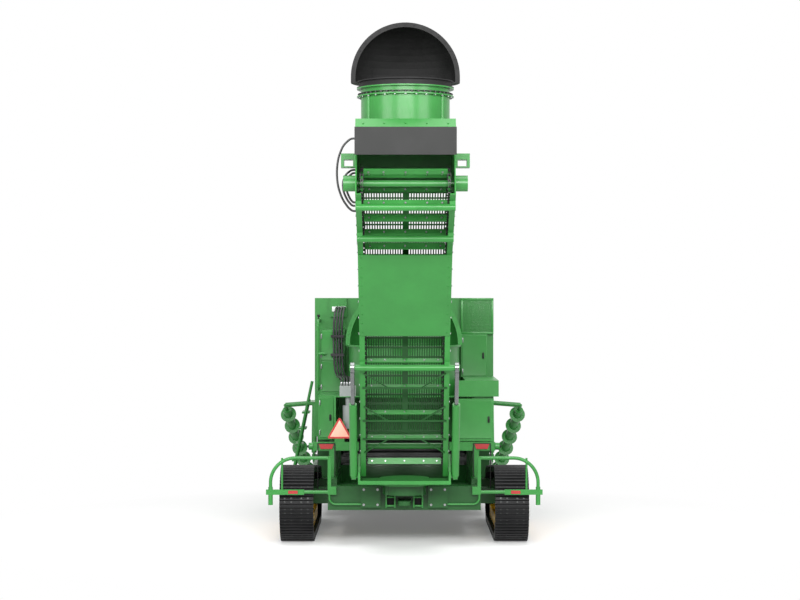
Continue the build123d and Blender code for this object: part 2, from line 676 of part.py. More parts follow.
def bored_fan(name, centre, radius, blade_width, blade_count, shaft_r):
    """A hub with pitched blades and a bore for its shaft."""
    with BuildPart() as rotor:
        with Locations(centre):
            with PolarLocations(radius * 0.55, blade_count):
                Box(radius * 0.9, 14, blade_width, rotation=(35, 0, 0))
        drum(centre, radius, 3 * blade_width, mode=Mode.INTERSECT)
        drum(centre, radius * 0.22, blade_width)
        drum(centre, shaft_r, 3 * blade_width, mode=Mode.SUBTRACT)
    save(rotor, name)


bored_fan("secondary_fan", (0, SECONDARY_Y, SECONDARY_FAN_Z), SECONDARY_R - 40, 100, 4, 20 + SEAT)

# Bin flap: hangs from the hinge pin at the elevator's end
FLAP_HEIGHT = 300.0
FLAP_THICK = 16.0
flap_y = REAR_Y + FLAP_THICK
with BuildPart() as flap:
    drum((0, HINGE_Y, HINGE_Z), 18, 2 * (INSIDE - 3), "x")
    block((-INSIDE + 3, INSIDE - 3), (flap_y, HINGE_Y), (HINGE_Z - 8, HINGE_Z + 8))
    block((-HALF_WIDTH - 6, HALF_WIDTH + 6), (REAR_Y, flap_y), (HINGE_Z - FLAP_HEIGHT, HINGE_Z + 26))
    drum((0, HINGE_Y, HINGE_Z), HINGE_PIN_R + SEAT, ELEVATOR_WIDTH, "x", Mode.SUBTRACT)
save(flap, "bin_flap")

# Primary extractor: chamber, turning hood and fan
CHUTE_X = RAIL_X + 54.0  # outside of the chute that stands on the rails
CHUTE_Y = (PRIMARY_Y - PRIMARY_R + 110.0, PRIMARY_Y + PRIMARY_R)
PRIMARY_FAN_Z = PRIMARY_Z[1] - 280
with BuildPart() as chamber:
    ring((0, PRIMARY_Y), PRIMARY_R, PRIMARY_R - PLATE, PRIMARY_Z[0], PRIMARY_Z[1])
    for low in (PRIMARY_Z[1] - FLANGE_THICK, PRIMARY_Z[0]):
        ring((0, PRIMARY_Y), PRIMARY_R + 35, PRIMARY_R - PLATE, low, low + FLANGE_THICK)
    with BuildSketch(Plane.XY.offset(PRIMARY_Z[0])) as roof:
        with Locations((0, sum(CHUTE_Y) / 2)):
            Rectangle(2 * CHUTE_X, CHUTE_Y[1] - CHUTE_Y[0])
        with Locations((0, PRIMARY_Y)):
            Circle(PRIMARY_R - PLATE, mode=Mode.SUBTRACT)
    extrude(roof.sketch, amount=PLATE)
    for side, word in SIDES:
        block((side * (CHUTE_X - 2 * PLATE), side * CHUTE_X), CHUTE_Y, (RAIL_Z[1], PRIMARY_Z[0] + PLATE))
    drum((0, PRIMARY_Y, PRIMARY_FAN_Z - 160), 45, 2 * (PRIMARY_R - PLATE / 2), "x")
    drum((0, PRIMARY_Y, PRIMARY_FAN_Z - 110), 100, 90)
    drum((0, PRIMARY_Y, PRIMARY_FAN_Z), 28, 200)
save(chamber, "primary_extractor")

PRIMARY_FLANGE_R = PRIMARY_R + 35.0
PRIMARY_SKIRT = 12.0
PRIMARY_RIM = 56.0
hood(
    "primary_hood",
    (0, PRIMARY_Y),
    PRIMARY_Z[1] + SEAT,
    PRIMARY_HOOD_R,
    PRIMARY_FLANGE_R,
    HOOD_WALL,
    PRIMARY_SKIRT,
    PRIMARY_RIM,
)
bored_fan("primary_fan", (0, PRIMARY_Y, PRIMARY_FAN_Z), PRIMARY_R - 45, 120, 4, 28 + SEAT)

# Engine, its hollow enclosure and the louvred side grilles
ENCLOSURE_X = (-1330.0, 1340.0)
ENCLOSURE_Y = (-40.0, 2600.0)
ENCLOSURE_TOP = 3430.0
ENCLOSURE_WALL = 16.0
ENGINE_X = (-420.0, 420.0)
ENGINE_Y = (100.0, 1400.0)
ENGINE_Z = (DECK_Z, 2300.0)
GRILLE_Y = (500.0, 2200.0)
GRILLE_Z = (1900.0, 3100.0)
LOUVRE_COUNT = 9
LOUVRE_THICK = 14.0
with BuildPart() as engine:
    block(ENGINE_X, ENGINE_Y, ENGINE_Z)
save(engine, "engine_block")

with BuildPart() as enclosure:
    block(ENCLOSURE_X, ENCLOSURE_Y, (DECK_Z, ENCLOSURE_TOP))
    block(
        (ENCLOSURE_X[0] + ENCLOSURE_WALL, ENCLOSURE_X[1] - ENCLOSURE_WALL),
        (ENCLOSURE_Y[0] + ENCLOSURE_WALL, ENCLOSURE_Y[1] - ENCLOSURE_WALL),
        (DECK_Z, ENCLOSURE_TOP - ENCLOSURE_WALL),
        Mode.SUBTRACT,
    )
    block((ENCLOSURE_X[0] - 5, ENCLOSURE_X[1] + 5), GRILLE_Y, GRILLE_Z, Mode.SUBTRACT)
    step = (GRILLE_Z[1] - GRILLE_Z[0]) / (LOUVRE_COUNT + 1)
    for near, far in zip(ENCLOSURE_X, (ENCLOSURE_X[0] + ENCLOSURE_WALL, ENCLOSURE_X[1] - ENCLOSURE_WALL)):
        for index in range(1, LOUVRE_COUNT + 1):
            z = GRILLE_Z[0] + index * step
            block((near, far), GRILLE_Y, (z - LOUVRE_THICK / 2, z + LOUVRE_THICK / 2))
save(enclosure, "engine_enclosure")

# Rear body: cabinets beside the chute and panels beside the primary hood
BODY_Y = (-1600.0, ENCLOSURE_Y[0])
PANEL = 60.0
SHELF_Z = PRIMARY_Z[0] + PLATE
# inner X, outer X, rear Y, front Y, low Z, high Z
RIGHT_BOXES = (
    (CHUTE_X, 1270.0, BODY_Y[0], BODY_Y[1], BODY_Z, SHELF_Z),
    (720.0, 1270.0, BODY_Y[0] - PANEL, BODY_Y[0], BODY_Z, SHELF_Z - 30),
    (870.0, 1340.0, BODY_Y[0], BODY_Y[1], SHELF_Z, 2260.0),
    (740.0, 1340.0, BODY_Y[0] - PANEL, BODY_Y[0], SHELF_Z, 2260.0),
    (850.0, 1240.0, -300.0, BODY_Y[1], 2260.0, 2890.0),
    (850.0, 1340.0, -100.0, BODY_Y[1], 2890.0, ENCLOSURE_TOP),
)
LEFT_BOXES = (
    (-CHUTE_X, -1230.0, -1300.0, BODY_Y[1], BODY_Z, SHELF_Z),
    (-870.0, -1230.0, -700.0, BODY_Y[1], SHELF_Z, 2960.0),
    (-850.0, -1095.0, -120.0, BODY_Y[1], 3150.0, ENCLOSURE_TOP),
)
for name, boxes in (("right_cabinet", RIGHT_BOXES), ("left_cabinet", LEFT_BOXES)):
    with BuildPart() as cabinet:
        for inner, outer, rear, front, low, high in boxes:
            block((inner, outer), (rear, front), (low, high))
    save(cabinet, name)

# Left handrail and the valve block under it
RAIL_R = 19.0
HANDRAIL_X = -1255.0
HANDRAIL_TOP = 3100.0
RAIL_TIE_X = -1150.0  # where the rail is tied to the cabinet
with BuildPart() as handrail:
    tube(
        (
            (HANDRAIL_X, BODY_Y[1] - RAIL_R, SHELF_Z + 60),
            (HANDRAIL_X, -760, SHELF_Z + 60),
            (HANDRAIL_X, -760, HANDRAIL_TOP),
            (HANDRAIL_X, -160, HANDRAIL_TOP),
        ),
        90,
        RAIL_R,
    )
    rod((HANDRAIL_X, -760, 2620), (RAIL_TIE_X, -760, 2620), RAIL_R)
    rod((RAIL_TIE_X, -760, 2620), (RAIL_TIE_X, -700, 2620), RAIL_R)
    rod((HANDRAIL_X, -160, HANDRAIL_TOP), (HANDRAIL_X, BODY_Y[1], HANDRAIL_TOP), RAIL_R)
    rod((HANDRAIL_X, BODY_Y[1] - RAIL_R, SHELF_Z + 60), (HANDRAIL_X, BODY_Y[1], SHELF_Z + 60), RAIL_R)
save(handrail, "handrail")

VALVE_X = (-916.0, -690.0)
VALVE_Y = (CHUTE_Y[0], CHUTE_Y[0] + 90.0)
VALVE_HEIGHT = 150.0
CANISTER_X = -795.0
CANISTER_R = 78.0
CANISTER_Z = (1570.0, 1900.0)
with BuildPart() as valves:
    block(VALVE_X, VALVE_Y, (SHELF_Z, SHELF_Z + VALVE_HEIGHT))
    drum((CANISTER_X, VALVE_Y[1], sum(CANISTER_Z) / 2), CANISTER_R, CANISTER_Z[1] - CANISTER_Z[0])
    neck = PRIMARY_Z[0] - CANISTER_Z[1]
    drum((CANISTER_X, VALVE_Y[1], CANISTER_Z[1] + neck / 2), CANISTER_R / 2, neck)
save(valves, "valve_block")

# Hoses from the left top box, clamped to the cabinet, to the valve block
BODY_HOSE_R = 14.0
BODY_HOSES = 4
HOSE_STEP = 40.0
HOSE_X = -880.0
TOP_BOX_Y = LEFT_BOXES[2][2]
CABINET_Y = LEFT_BOXES[1][2]
VALVE_TOP = SHELF_Z + VALVE_HEIGHT
HOSE_END_Y = sum(VALVE_Y) / 2
# how far left of the first hose's start, y and z, along each hose
HOSE_ROUTE = (
    (0, TOP_BOX_Y, 3290),
    (0, -300, 3290),
    (14, -520, 3225),
    (24, -690, 3080),
    (28, -775, 2890),
    (24, -795, 2700),
    (18, -820, 2530),
    (4, -900, 2390),
    (-24, -1050, 2310),
    (-56, -1230, 2290),
    (-84, -1385, 2302),
    (-104, -1490, 2294),
    (-110, HOSE_END_Y, 2250),
    (-110, HOSE_END_Y, VALVE_TOP),
)
CLAMP_X = (HOSE_X + 6, HOSE_X - 28 - BODY_HOSES * HOSE_STEP)
CLAMP_DEPTH = 125.0
CLAMP_HEIGHT = 36.0
CLAMP_ZS = (2870.0, 2600.0)
with BuildPart() as body_hoses:
    for index in range(BODY_HOSES):
        hose([(HOSE_X - index * HOSE_STEP - step, y, z) for step, y, z in HOSE_ROUTE], BODY_HOSE_R)
    for z in CLAMP_ZS:
        block(CLAMP_X, (CABINET_Y - CLAMP_DEPTH, CABINET_Y), (z - CLAMP_HEIGHT / 2, z + CLAMP_HEIGHT / 2))
save(body_hoses, "body_hoses")

# Lamp bars on the rails, with a tail lamp on each and the blank slow-vehicle sign on the left
BAR_Y = (-1700.0, -1640.0)
BAR_Z = (1270.0, 1390.0)
BAR_X = (640.0, 1290.0)
LAMP_X = 1100.0
LAMP_DEPTH = 24.0
SIGN_X = -914.0
SIGN_SIDE = 356.0
SIGN_LOW_Z = 1440.0
SIGN_THICK = 4.0
with BuildPart() as lamp_bars:
    for side, word in SIDES:
        block((side * BAR_X[0], side * BAR_X[1]), BAR_Y, BAR_Z)
        block((side * (RAIL_OUT - 80), side * RAIL_OUT), BAR_Y, (RAIL_Z[1], BAR_Z[0]))
        drum((side * (BAR_X[1] + 30), sum(BAR_Y) / 2, sum(BAR_Z) / 2), 50, 60, "x")
    block((SIGN_X - 70, SIGN_X + 70), (BAR_Y[0] + 20, BAR_Y[0] + 40), (BAR_Z[1], SIGN_LOW_Z + 240))
save(lamp_bars, "lamp_bars")

with BuildPart() as sign:
    with BuildSketch(Plane.XZ.offset(-BAR_Y[0] - 20)) as plate:
        with Locations((SIGN_X, SIGN_LOW_Z + SIGN_SIDE * 0.29)):
            Triangle(a=SIGN_SIDE, b=SIGN_SIDE, c=SIGN_SIDE)
        chamfer(plate.vertices(), 22)
    extrude(plate.sketch, amount=SIGN_THICK)
save(sign, "slow_vehicle_sign")

# Tube guards behind the tracks, each with a plate for its reflector, a bumper post and a lower loop
GUARD_R = 24.0
GUARD_Y = -2330.0
GUARD_Z = (745.0, 1215.0)
GUARD_FOOT_X = (RAIL_X, RAIL_X + RAIL_WIDTH)
GUARD_X = (1690.0, 1850.0)  # inner upright, outer bend
GUARD_BEND = 340.0
GUARD_PLATE_X = (1386.0, 1911.0)
GUARD_PLATE_HALF = 36.0
REFLECTOR_X = (1474.0, 1604.0)
BUMPER_R = 32.0
BUMPER_Z = (567.0, 816.0)
LOOP_R = 13.0
LOOP_Z = 575.0
LOOP_BEND = 90.0
with BuildPart() as guards:
    for side, word in SIDES:
        foot = (side * GUARD_FOOT_X[0], side * GUARD_FOOT_X[1])
        block(foot, (GUARD_Y - GUARD_R, REAR_BEAM_Y[0]), (GUARD_Z[0] - GUARD_PLATE_HALF, SLEW_Z[0] - 30))
        post = (foot[1] - side * 2 * GUARD_R, foot[1])
        block(post, (GUARD_Y - GUARD_R, GUARD_Y + GUARD_R), (SLEW_Z[0] - 30, GUARD_Z[1] + GUARD_R))
        start_x = foot[1] - side * GUARD_R
        tube(
            (
                (start_x, GUARD_Y, GUARD_Z[1]),
                (side * GUARD_X[1], GUARD_Y, GUARD_Z[1]),
                (side * GUARD_X[1], GUARD_Y, GUARD_Z[0]),
            ),
            GUARD_BEND,
            GUARD_R,
        )
        rod((start_x, GUARD_Y, GUARD_Z[0]), (side * GUARD_X[1], GUARD_Y, GUARD_Z[0]), GUARD_R)
        post_x = side * GUARD_X[0]
        rod((post_x, GUARD_Y, GUARD_Z[0]), (post_x, GUARD_Y, GUARD_Z[1]), GUARD_R * 0.6)
        plate_x = (side * GUARD_PLATE_X[0], side * GUARD_PLATE_X[1])
        plate_z = (GUARD_Z[0] - GUARD_PLATE_HALF, GUARD_Z[0] + GUARD_PLATE_HALF)
        block(plate_x, (GUARD_Y - 30, GUARD_Y), plate_z)
        drum((side * GUARD_X[1], GUARD_Y, sum(BUMPER_Z) / 2), BUMPER_R, BUMPER_Z[1] - BUMPER_Z[0])
        tube(
            (
                (start_x, GUARD_Y, GUARD_Z[0]),
                (start_x, GUARD_Y, LOOP_Z),
                (side * BRACKET_X[1], GUARD_Y, LOOP_Z),
            ),
            LOOP_BEND,
            LOOP_R,
        )
save(guards, "rear_guards")

# Red lenses: a tail lamp on each lamp bar and a reflector on each guard
LAMP_TOP = 210.0
LAMP_HEIGHT = 70.0
with BuildPart() as lamps:
    for side, word in SIDES:
        with BuildSketch(Plane.XZ.offset(-BAR_Y[0])) as lens:
            with Locations((side * LAMP_X, sum(BAR_Z) / 2)):
                Trapezoid(LAMP_TOP, LAMP_HEIGHT, 70, rotation=180)
        extrude(lens.sketch, amount=LAMP_DEPTH)
        middle = side * sum(REFLECTOR_X) / 2
        block((middle - 65, middle + 65), (GUARD_Y - 36, GUARD_Y - 30), (GUARD_Z[0] - 22, GUARD_Z[0] + 22))
save(lamps, "tail_lamps")

# Cab on its platform: shell with cut windows, glass, seat, door and mirrors
PLATFORM_Z = (1700.0, 1740.0)
PLATFORM_HALF = 1150.0
PLATFORM_Y = (2640.0, 3850.0, 4450.0)  # rear, end of the wide deck, front
PEDESTAL_HALF = 700.0
TOPPER_R = 450.0
TOPPER_Y = FRONT_Y - TOPPER_R
TOPPER_ARM = 550.0  # boom tip to the drums' axis
BOOM_FOOT = (4560.0, 1650.0)  # topper boom's pivot, y and z
BOOM_TIP = (TOPPER_Y - TOPPER_ARM, 2750.0)
BOOM_X = 450.0
BOOM_THICK = 40.0
BOOM_PIN_R = 30.0
CAB_HALF = 850.0
CAB_WALL = 32.0
CAB_REAR_Y = 2760.0
CAB_TOP = 3390.0
CAB_PROFILE = (
    (CAB_REAR_Y, PLATFORM_Z[1]),
    (4330.0, PLATFORM_Z[1]),
    (4420.0, 2300.0),
    (4300.0, CAB_TOP - 90),
    (4210.0, CAB_TOP),
    (2830.0, CAB_TOP),
    (CAB_REAR_Y, CAB_TOP - 90),
)
WINDOW_Z = (2150.0, 3230.0)
WINDOW_HALF = 740.0
DOOR_Y = (2900.0, 3850.0)
DOOR_Z = (1800.0, 3270.0)
SIDE_WINDOW_Y = (2900.0, 4150.0)
GLASS = 8.0
DOOR_GAP = 6.0
HINGE_R = 12.0
HINGE_ZS = (2000.0, 3050.0)
KNUCKLE_HALF = 40.0
LUG = 20.0
DOOR_HINGE = (-CAB_HALF - LUG, DOOR_Y[0] + LUG)

# Ladder: Y and upper end of each rail, which lean outwards to the ground
LADDER_RAILS = ((2700.0, 2076.0), (3150.0, 1760.0))
LADDER_LEAN = 0.21
LADDER_R = 24.0
LADDER_FOOT_Z = 480.0
STEP_X = -1515.0  # outer edge of the entry step
STEP_Y = (PLATFORM_Y[0], 3300.0)


def ladder_x(z):
    """X of the ladder's rails at a height."""
    return STEP_X - 2 * LADDER_R - (PLATFORM_Z[0] - z) * LADDER_LEAN


with BuildPart() as platform:
    block((STEP_X, -PLATFORM_HALF), STEP_Y, PLATFORM_Z)
    block((-PEDESTAL_HALF, PEDESTAL_HALF), (PLATFORM_Y[0], PLATFORM_Y[2] - 300), (DECK_Z, PLATFORM_Z[0]))
    block(
        (PLATE - PEDESTAL_HALF, PEDESTAL_HALF - PLATE),
        (PLATFORM_Y[0] + PLATE, PLATFORM_Y[2] - 300 - PLATE),
        (DECK_Z, PLATFORM_Z[0]),
        Mode.SUBTRACT,
    )
    block((-PLATFORM_HALF, PLATFORM_HALF), PLATFORM_Y[:2], PLATFORM_Z)
    block((-CAB_HALF, CAB_HALF), PLATFORM_Y[1:], PLATFORM_Z)
    for side, word in SIDES:
        lug = BOOM_X + RUN
        block(
            (side * lug, side * (lug + BOOM_THICK)),
            (PLATFORM_Y[2] - 100, BOOM_FOOT[0] + 60),
            (BOOM_FOOT[1] - 60, PLATFORM_Z[1]),
        )
        drum((side * (lug - BOOM_THICK / 2), *BOOM_FOOT), BOOM_PIN_R, BOOM_THICK + 2 * RUN, "x")
save(platform, "cab_platform")

RUNG_COUNT = 5
RUNG_PITCH = 260.0
RUNG_HALF = 60.0
with BuildPart() as ladder:
    for y, top in LADDER_RAILS:
        rod((ladder_x(top), y, top), (ladder_x(LADDER_FOOT_Z), y, LADDER_FOOT_Z), LADDER_R)
    for index in range(RUNG_COUNT):
        z = LADDER_FOOT_Z + 40 + index * RUNG_PITCH
        block(
            (ladder_x(z) - RUNG_HALF, ladder_x(z) + RUNG_HALF),
            (LADDER_RAILS[0][0], LADDER_RAILS[1][0]),
            (z - 14, z + 14),
        )
    for y, top in LADDER_RAILS:
        block((ladder_x(PLATFORM_Z[0]), STEP_X), (y - LADDER_R, y + LADDER_R), PLATFORM_Z)
save(ladder, "ladder")

with BuildPart() as cab:
    side_profile(CAB_PROFILE, -CAB_HALF, CAB_HALF)
    side_profile(
        (
            (CAB_REAR_Y + CAB_WALL, PLATFORM_Z[1] + CAB_WALL),
            (4330 - CAB_WALL, PLATFORM_Z[1] + CAB_WALL),
            (4420 - CAB_WALL, 2300),
            (4300 - CAB_WALL, CAB_TOP - 110),
            (4210 - CAB_WALL, CAB_TOP - CAB_WALL),
            (2830 + CAB_WALL, CAB_TOP - CAB_WALL),
            (CAB_REAR_Y + CAB_WALL, CAB_TOP - 110),
        ),
        CAB_WALL - CAB_HALF,
        CAB_HALF - CAB_WALL,
        Mode.SUBTRACT,
    )
    block((-WINDOW_HALF, WINDOW_HALF), (4200, 4500), WINDOW_Z, Mode.SUBTRACT)
    block((-WINDOW_HALF, WINDOW_HALF), (CAB_REAR_Y - 5, CAB_REAR_Y + CAB_WALL + 5), WINDOW_Z, Mode.SUBTRACT)
    block((CAB_HALF - CAB_WALL - 5, CAB_HALF + 5), SIDE_WINDOW_Y, WINDOW_Z, Mode.SUBTRACT)
    block((-CAB_HALF - 5, CAB_WALL - CAB_HALF + 5), DOOR_Y, DOOR_Z, Mode.SUBTRACT)
    for z in HINGE_ZS:
        drum((*DOOR_HINGE, z), HINGE_R, 2 * (KNUCKLE_HALF + LUG))
        for low in (z - KNUCKLE_HALF - LUG, z + KNUCKLE_HALF):
            block((DOOR_HINGE[0] - HINGE_R, -CAB_HALF), (DOOR_Y[0] - 40, DOOR_Y[0] - 10), (low, low + LUG))
            block(
                (DOOR_HINGE[0] - HINGE_R, DOOR_HINGE[0] + HINGE_R - 2),
                (DOOR_Y[0] - 40, DOOR_HINGE[1] + HINGE_R),
                (low, low + LUG),
            )
save(cab, "cab_shell")


def front_y(z):
    """Y of the windscreen's outer face at a height."""
    return 4420 + (4300 - 4420) * (z - 2300) / (CAB_TOP - 90 - 2300)


with BuildPart() as glass:
    side_profile(
        (
            (front_y(2300), 2300),
            (front_y(WINDOW_Z[1]), WINDOW_Z[1]),
            (front_y(WINDOW_Z[1]) - GLASS, WINDOW_Z[1]),
            (front_y(2300) - GLASS, 2300),
        ),
        -WINDOW_HALF,
        WINDOW_HALF,
    )
    block((-WINDOW_HALF, WINDOW_HALF), (CAB_REAR_Y + 10, CAB_REAR_Y + 10 + GLASS), WINDOW_Z)
    block((CAB_HALF - 10 - GLASS, CAB_HALF - 10), SIDE_WINDOW_Y, WINDOW_Z)
save(glass, "cab_glass")

SEAT_Y = 3250.0
CAB_FLOOR = PLATFORM_Z[1] + CAB_WALL
with BuildPart() as seat:
    block((-200, 200), (SEAT_Y - 200, SEAT_Y + 200), (CAB_FLOOR, CAB_FLOOR + 350))
    block((-260, 260), (SEAT_Y - 250, SEAT_Y + 270), (CAB_FLOOR + 350, CAB_FLOOR + 470))
    block((-240, 240), (SEAT_Y - 300, SEAT_Y - 190), (CAB_FLOOR + 420, CAB_FLOOR + 1130))
    block((280, 460), (SEAT_Y - 200, SEAT_Y + 420), (CAB_FLOOR, CAB_FLOOR + 620))
    block((190, 290), (SEAT_Y - 150, SEAT_Y + 150), (CAB_FLOOR + 250, CAB_FLOOR + 300))
save(seat, "cab_seat")

DOOR_X = (-CAB_HALF, CAB_WALL - CAB_HALF)
DOOR_FRAME = 90.0
with BuildPart() as door:
    block(
        DOOR_X,
        (DOOR_Y[0] + DOOR_GAP, DOOR_Y[1] - DOOR_GAP),
        (DOOR_Z[0] + DOOR_GAP, DOOR_Z[1] - DOOR_GAP),
    )
    block(
        (DOOR_X[0] - 5, DOOR_X[1] + 5),
        (DOOR_Y[0] + DOOR_FRAME, DOOR_Y[1] - DOOR_FRAME),
        (DOOR_Z[0] + 3 * DOOR_FRAME, DOOR_Z[1] - DOOR_FRAME),
        Mode.SUBTRACT,
    )
    for z in HINGE_ZS:
        drum((*DOOR_HINGE, z), LUG - 2, 2 * (KNUCKLE_HALF - SEAT))
        block(
            (DOOR_HINGE[0], DOOR_X[0]),
            (DOOR_HINGE[1], DOOR_HINGE[1] + 3 * LUG),
            (z - KNUCKLE_HALF + SEAT, z + KNUCKLE_HALF - SEAT),
        )
        drum((*DOOR_HINGE, z), HINGE_R + SEAT, 3 * KNUCKLE_HALF, mode=Mode.SUBTRACT)
save(door, "cab_door")

with BuildPart() as door_glass:
    block(
        (DOOR_X[0] + 10, DOOR_X[0] + 10 + GLASS),
        (DOOR_Y[0] + DOOR_FRAME, DOOR_Y[1] - DOOR_FRAME),
        (DOOR_Z[0] + 3 * DOOR_FRAME, DOOR_Z[1] - DOOR_FRAME),
    )
save(door_glass, "door_glass")

MIRROR_X = 1437.0
MIRROR_Y = 4260.0
MIRROR_Z = (2930.0, 3190.0)
with BuildPart() as mirrors:
    for side, word in SIDES:
        rod((side * CAB_HALF, MIRROR_Y, 3060), (side * MIRROR_X, MIRROR_Y, 3060), 16)
        block((side * (MIRROR_X - 45), side * (MIRROR_X + 45)), (MIRROR_Y - 50, MIRROR_Y + 10), MIRROR_Z)
save(mirrors, "mirrors")

# Base cutters: four toothed discs under a gearbox across the throat
CUTTER_Y = 2650.0
CUTTER_XS = (-1060.0, -440.0, 440.0, 1060.0)
CUTTER_R = 290.0
CUTTER_Z = (130.0, 150.0)
GEARBOX_Z = (880.0, 1100.0)
GEARBOX_HALF_Y = 170.0
LEG_R = 85.0
CUTTER_SHAFT_R = 40.0
BLADE_COUNT = 5
with BuildPart() as gearbox:
    block((-THROAT_X, THROAT_X), (CUTTER_Y - GEARBOX_HALF_Y, CUTTER_Y + GEARBOX_HALF_Y), GEARBOX_Z)
    for x in CUTTER_XS:
        drum((x, CUTTER_Y, GEARBOX_Z[0] - 30), LEG_R + 40, 60)
        drum((x, CUTTER_Y, GEARBOX_Z[0] - 150), CUTTER_SHAFT_R, 300)
save(gearbox, "base_cutter_gearbox")

for index, x in enumerate(CUTTER_XS, start=1):
    with BuildPart() as cutter:
        drum((x, CUTTER_Y, sum(CUTTER_Z) / 2), CUTTER_R - 55, CUTTER_Z[1] - CUTTER_Z[0])
        neck = GEARBOX_Z[0] - 60 - SEAT - CUTTER_Z[1]
        drum((x, CUTTER_Y, CUTTER_Z[1] + neck / 2), LEG_R, neck)
        with Locations((x, CUTTER_Y, CUTTER_Z[0] - 5)):
            with PolarLocations(CUTTER_R - 65, BLADE_COUNT):
                Box(120, 80, 10)
        drum((x, CUTTER_Y, GEARBOX_Z[0] - 150), CUTTER_SHAFT_R + SEAT, 320, mode=Mode.SUBTRACT)
    save(cutter, f"base_cutter_{index}")

# Knockdown roller with lengthwise bars
ROLLER_TUBE_R = 105.0
ROLLER_BARS = 6
ROLLER_HALF = THROAT_X - 2 * RUN - 60
with BuildPart() as roller:
    drum((0, ROLLER_Y, ROLLER_Z), ROLLER_TUBE_R, 2 * ROLLER_HALF, "x")
    drum((0, ROLLER_Y, ROLLER_Z), ROLLER_TUBE_R - PLATE, 2 * ROLLER_HALF, "x", Mode.SUBTRACT)
    with BuildSketch(Plane.YZ.offset(-ROLLER_HALF)) as bars:
        with Locations((ROLLER_Y, ROLLER_Z)):
            with PolarLocations(ROLLER_TUBE_R + 12, ROLLER_BARS):
                Rectangle(36, 22)
    extrude(bars.sketch, amount=2 * ROLLER_HALF)
    for side, word in SIDES:
        drum((side * (ROLLER_HALF - PLATE), ROLLER_Y, ROLLER_Z), ROLLER_TUBE_R, 2 * PLATE, "x")
        drum((side * (THROAT_X - 60), ROLLER_Y, ROLLER_Z), ROLLER_PIN_R + 25, 120 - 2 * SEAT, "x")
        drum((side * (THROAT_X - 60), ROLLER_Y, ROLLER_Z), ROLLER_PIN_R + SEAT, 160, "x", Mode.SUBTRACT)
save(roller, "knockdown_roller")

# Crop dividers: hinged frames, each with an outer and an inner scroll
SCROLL_R = 75.0
FLIGHT_R = 135.0
FLIGHT_PITCH = 330.0
FLIGHT_THICK = 12.0
FLIGHT_TILT = 22.0
# lower end and upper end of each scroll, as (distance from the centre plane, y, z)
SCROLLS = {
    "outer": ((1670.0, 5900.0, 260.0), (1990.0, 4400.0, 1520.0)),
    "inner": ((1350.0, 5900.0, 260.0), (1070.0, 4430.0, 1480.0)),
}
STUB_R = 30.0
STUB_IN = 60.0
STUB_OUT = 130.0


def scroll_ends(side, name):
    """Lower end, upper end and direction of a scroll."""
    low, high = (Vector(side * x, y, z) for x, y, z in SCROLLS[name])
    return low, high, (high - low).normalized()


def scroll(side, word, name):
    """A tube with tilted flights and a bore at each end."""
    low, high, along = scroll_ends(side, name)
    length = (high - low).length
    with BuildPart() as worm:
        rod(tuple(low), tuple(high), SCROLL_R)
        base = Plane(origin=low, z_dir=along)
        for index in range(int(length / FLIGHT_PITCH)):
            middle = base.offset((index + 0.6) * FLIGHT_PITCH)
            with Locations(middle.rotated((FLIGHT_TILT, 0, 0))):
                Cylinder(FLIGHT_R, FLIGHT_THICK)
        for end, way in ((low, along), (high, -along)):
            rod(tuple(end - way), tuple(end + way * (STUB_IN + SEAT)), STUB_R + SEAT, Mode.SUBTRACT)
    save(worm, f"{name}_scroll_{word}")


def divider(side, word):
    """Hinged plate with a nose shoe, a mast and the scrolls' end bearings."""
    y, z = DIVIDER_HINGE
    near, far = (side * (DIVIDER_X + step * DIVIDER_PLATE / 2) for step in (-1, 1))
    with BuildPart() as frame:
        side_profile(
            (
                (y - 80, z - 80),
                (y - 80, z + 80),
                (y + 200, z + 100),
                (6000, 330),
                (6000, 150),
                (y + 100, z - 130),
            ),
            near,
            far,
        )
        side_profile(((6000, 70), (6300, 60), (6330, 120), (6030, 420), (6000, 420)), side * 1290, side * 1730)
        rod((side * DIVIDER_X, y + 180, z + 60), (side * DIVIDER_X, y + 440, 1640), 45)
        for name in SCROLLS:
            low, high, along = scroll_ends(side, name)
            rod(tuple(low - along * STUB_OUT), tuple(low + along * STUB_IN), STUB_R)
            rod(tuple(high - along * STUB_IN), tuple(high + along * STUB_OUT), STUB_R)
            top = high + along * STUB_OUT
            rod((side * DIVIDER_X, y + 440, 1640), tuple(top), 40)
        drum((side * DIVIDER_X, y, z), DIVIDER_PIN_R + SEAT, 4 * DIVIDER_PLATE, "x", Mode.SUBTRACT)
    save(frame, f"crop_divider_{word}")


for side, word in SIDES:
    divider(side, word)
    for name in SCROLLS:
        scroll(side, word, name)

# Topper: boom, levelled head and two gathering drums
BOOM_HALF = 70.0
TOPPER_X = 620.0
TOPPER_Z = (2420.0, 2640.0)
TOPPER_SHAFT_R = 40.0
TOPPER_ARMS = 8
with BuildPart() as boom:
    lean = (Vector(*BOOM_TIP) - Vector(*BOOM_FOOT)).normalized()
    across = Vector(-lean.Y, lean.X) * BOOM_HALF
    foot, tip = Vector(*BOOM_FOOT), Vector(*BOOM_TIP)
    corners = [foot + across, tip + across, tip - across, foot - across]
    for side, word in SIDES:
        side_profile([(p.X, p.Y) for p in corners], side * BOOM_X, side * (BOOM_X - BOOM_THICK))
        for centre in (BOOM_FOOT, BOOM_TIP):
            drum((side * (BOOM_X - BOOM_THICK / 2), *centre), BOOM_HALF, BOOM_THICK, "x")
            pin_x = side * (BOOM_X - BOOM_THICK / 2)
            drum((pin_x, *centre), BOOM_PIN_R + SEAT, 2 * BOOM_THICK, "x", Mode.SUBTRACT)
    for share in (0.3, 0.7):
        middle = Vector(*BOOM_FOOT) + (Vector(*BOOM_TIP) - Vector(*BOOM_FOOT)) * share
        drum((0, middle.X, middle.Y), 45, 2 * BOOM_X - BOOM_THICK, "x")
